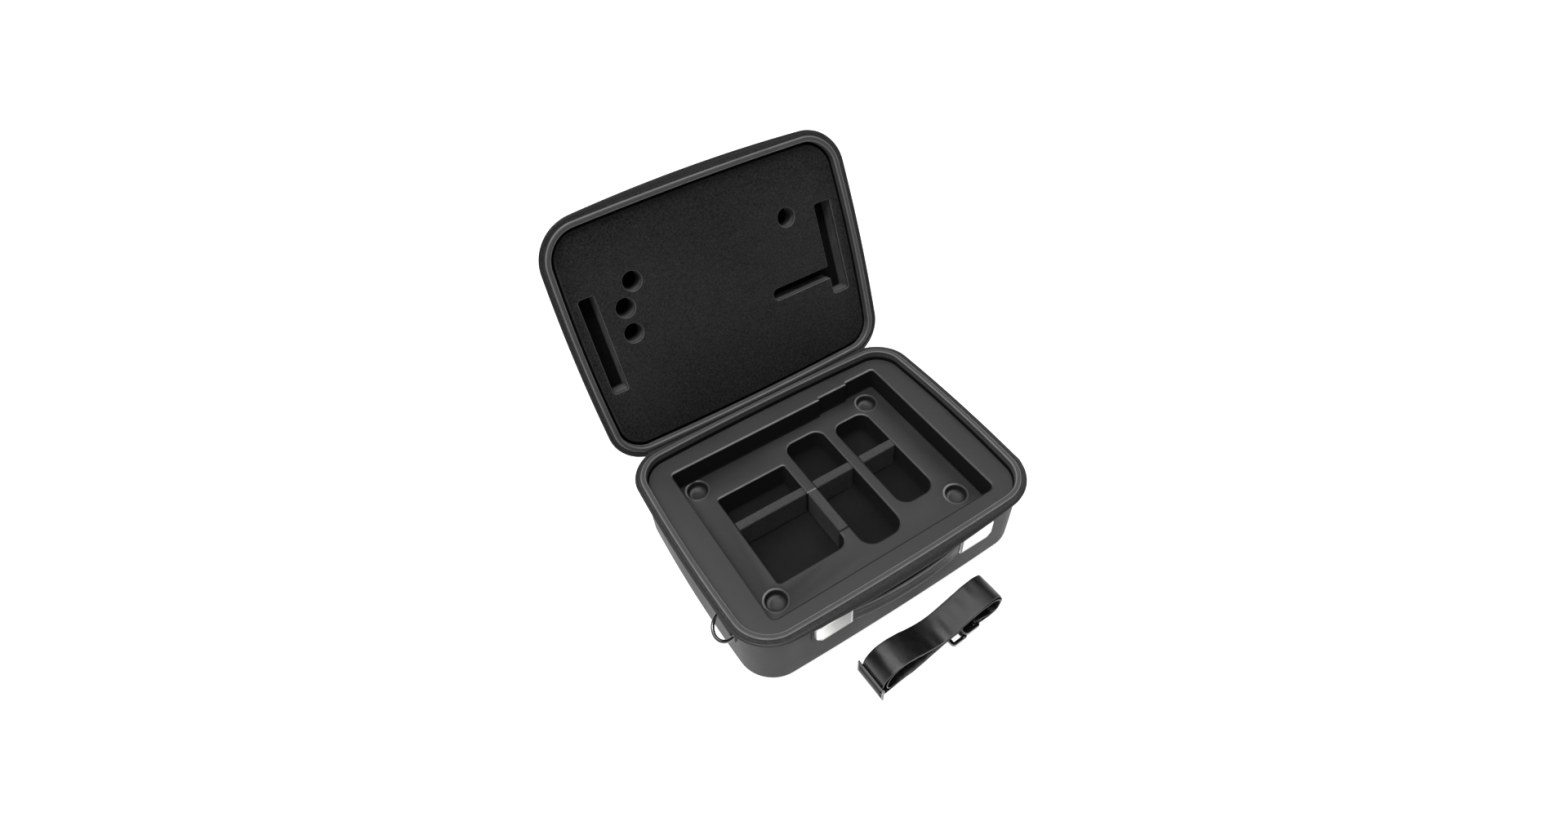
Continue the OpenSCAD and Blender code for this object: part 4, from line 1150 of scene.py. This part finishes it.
rightInner = [(14, 26), (26, 28.3), (41, 32), (54, 35.1), (65, 36.2), (73, 35), (79.6, 30.8), (84, 24),
              (85, 16), (83, 9), (78.6, 5.6), (73, 5.3), (66, 8), (60, 11.2), (55, 13)]
highEnd = barWrap(high)[::-1] + [(high[0] + 4, 7.7), (high[0] + 9, 7.9)]
strapPath = lowEnd + rightOuter + leftOuter + foldRun + leftInner + rightInner + highEnd


def webbingSection():
    # closed section in (share of the half width, up), slightly raised along both selvedges
    cells, half = strap["cells"], strap["half"]
    profile = [(2 * k / cells - 1, half + strap["seamRaise"] * (k in (1, cells - 1))) for k in range(1, cells)]
    profile = [(-1.0, 0.15), (-0.985, 0.62)] + profile + [(0.985, 0.62), (1.0, 0.15)]
    return profile + [(a, -b) for a, b in reversed(profile)]


def strapPiece():
    line = smoothCurve(strapPath, 5)
    normals = curveNormals(line)
    run = [0.0]
    for p, q in zip(line, line[1:]):
        run.append(run[-1] + float(np.linalg.norm(q - p)))
    section = webbingSection()
    half = strap["wide"] / 2
    bars = [(strap["slideX"], z) for z in strap["barZ"]] + [low, high]
    parts = MeshParts()
    rows = []
    for p, normal, walked in zip(line, normals, run):
        # the waves die away where a bar holds the webbing
        near = min(math.dist(p, bar) for bar in bars)
        free = clip((near - strap["heldWithin"]) / strap["freeBeyond"])
        shift = free * strap["sway"] * math.sin(walked * 0.021 + 0.6) * math.sin(walked * 0.0073)
        quick, slow = strap["buckle"]
        buckle = free * (quick * math.sin(walked * 0.42) + slow * math.sin(walked * 0.27 + 1.3))
        row = []
        for a, b in section:
            out = b + buckle * (0.45 + 0.55 * math.sin(2.1 * a + walked * 0.05))
            row.append(onFloor(p[0] + normal[0] * out, shift + half * a, p[1] + normal[1] * out))
        rows.append(parts.add(row))
    across = lengthsAlong([(half * a, b) for a, b in section])
    parts.skin(rows, lambda j, i: (across[j] * mm, run[i] * mm))
    parts.capBoth(rows)
    piece = makePiece("strapWebbing", parts, mat["strap"], "strap", replaces=["strap_webbing"],
                      sharp=45)
    print("strap length in millimetres", round(run[-1], 1))


def slidePiece():
    # three bars across, and a rounded cheek at each end that joins them
    parts = MeshParts()
    reach = slide["half"] - slide["bar"]
    x, barZ = strap["slideX"], strap["barZ"]
    for z in barZ:
        sweepTube(parts, [onFloor(x, reach * (i / 4 - 1), z) for i in range(9)], slide["bar"], 18)
    heights = np.linspace(barZ[0] - slide["past"], barZ[2] + slide["past"], 20)
    for s in (-1, 1):
        sweepTube(parts, [onFloor(x, s * reach, z) for z in heights], slide["cheek"], 18,
                  squeeze=lambda t: 1 - slide["pointed"] * max(0, abs(t - 0.5) * 2 - 0.88) / 0.12)
    makePiece("strapSlide", parts, mat["steel"], "strap", replaces=["strap_slide"], sharp=60)


slidePiece()
strapPiece()
print("strap made")


# carried-over CAD nodes
carried = dict(teeth=["zip_tails"], pad=["handle_pads"],
               steel=["slider_left", "slider_right", "pull_left", "pull_right", "hook_low",
                      "hook_high", "gate_low", "gate_high"])
softEdge = dict(width=0.35, segments=2, angle=40)
for key, nodes in carried.items():
    for node in nodes:
        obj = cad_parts[node]
        obj.data.materials.clear()
        obj.data.materials.append(mat[key])
        rounding = obj.modifiers.new("rounding", "BEVEL")
        rounding.width = softEdge["width"] * mm
        rounding.segments = softEdge["segments"]
        rounding.limit_method = "ANGLE"
        rounding.angle_limit = math.radians(softEdge["angle"])
print("CAD nodes dressed")


# floor, light and camera
# ambient: the sky's strength for all but camera rays
# floorGlow: the floor's own light, as the camera sees it; mirrored: the share of it that reflections see
studio = dict(ambient=0.07, floorGlow=0.85, mirrored=0.85, floorHalf=6.0, floorZ=-0.0003, floorTone=0.9)
# azimuth and elevation in degrees, strength, spread in degrees
suns = dict(topLight=(196, 68, 1.7, 76), crownLight=(-55, 76, 1.4, 26), frontLight=(-35, 60, 0.14, 50))
view = dict(azimuth=-30.11, elevation=48.27, roll=-3.40, eye=(-0.30679, -0.43630, 0.78948),
            lens=18.075, sensor=36)


def directionTo(azimuth, elevation):
    a, e = math.radians(azimuth), math.radians(elevation)
    return Vector((math.sin(a) * math.cos(e), -math.cos(a) * math.cos(e), math.sin(e)))


def studioSky():
    world = bpy.data.worlds.new("studio")
    bpy.context.scene.world = world
    world.use_nodes = True
    n, l = world.node_tree.nodes, world.node_tree.links
    back = n["Background"]
    back.inputs["Color"].default_value = (1, 1, 1, 1)
    path = n.new("ShaderNodeLightPath")
    extra = mathNode(n, l, "MULTIPLY", path.outputs["Is Camera Ray"], 1 - studio["ambient"])
    l.new(mathNode(n, l, "ADD", extra, studio["ambient"]), back.inputs["Strength"])


def studioFloor():
    material = bpy.data.materials.new("studioFloor")
    material.use_nodes = True
    n, l = material.node_tree.nodes, material.node_tree.links
    shader = n["Principled BSDF"]
    tone = studio["floorTone"]
    shader.inputs["Base Color"].default_value = (tone, tone, tone, 1)
    shader.inputs["Roughness"].default_value = 0.9
    shader.inputs["Specular IOR Level"].default_value = 0.0
    shader.inputs["Emission Color"].default_value = (1, 1, 1, 1)
    path = n.new("ShaderNodeLightPath")
    mirrored = mathNode(n, l, "MULTIPLY", path.outputs["Is Glossy Ray"], studio["mirrored"])
    seen = mathNode(n, l, "MAXIMUM", path.outputs["Is Camera Ray"], mirrored)
    l.new(mathNode(n, l, "MULTIPLY", seen, studio["floorGlow"]), shader.inputs["Emission Strength"])
    h, z = studio["floorHalf"], studio["floorZ"]
    mesh = bpy.data.meshes.new("floor")
    mesh.from_pydata([(-h, -h, z), (h, -h, z), (h, h, z), (-h, h, z)], [], [(0, 1, 2, 3)])
    mesh.materials.append(material)
    floor = bpy.data.objects.new("floor", mesh)
    bpy.context.scene.collection.objects.link(floor)


def softSun(name, azimuth, elevation, strength, spread):
    data = bpy.data.lights.new(name, "SUN")
    data.energy = strength
    data.angle = math.radians(spread)
    lamp = bpy.data.objects.new(name, data)
    bpy.context.scene.collection.objects.link(lamp)
    lamp.rotation_mode = "QUATERNION"
    lamp.rotation_quaternion = directionTo(azimuth, elevation).to_track_quat("Z", "Y")


def studioCamera():
    az, roll = math.radians(view["azimuth"]), math.radians(view["roll"])
    backward = directionTo(view["azimuth"], view["elevation"])
    level = Vector((math.cos(az), math.sin(az), 0))
    upright = backward.cross(level)
    right = level * math.cos(roll) + upright * math.sin(roll)
    upward = upright * math.cos(roll) - level * math.sin(roll)
    data = bpy.data.cameras.new("camera")
    data.sensor_width = view["sensor"]
    data.lens = view["lens"]
    camera = bpy.data.objects.new("camera", data)
    bpy.context.scene.collection.objects.link(camera)
    turned = Matrix((right, upward, backward)).transposed().to_4x4()
    camera.matrix_world = Matrix.Translation(view["eye"]) @ turned
    bpy.context.scene.camera = camera


studioSky()
studioFloor()
for name, values in suns.items():
    softSun(name, *values)
studioCamera()
bpy.context.scene.view_settings.view_transform = "Standard"
print("studio made")
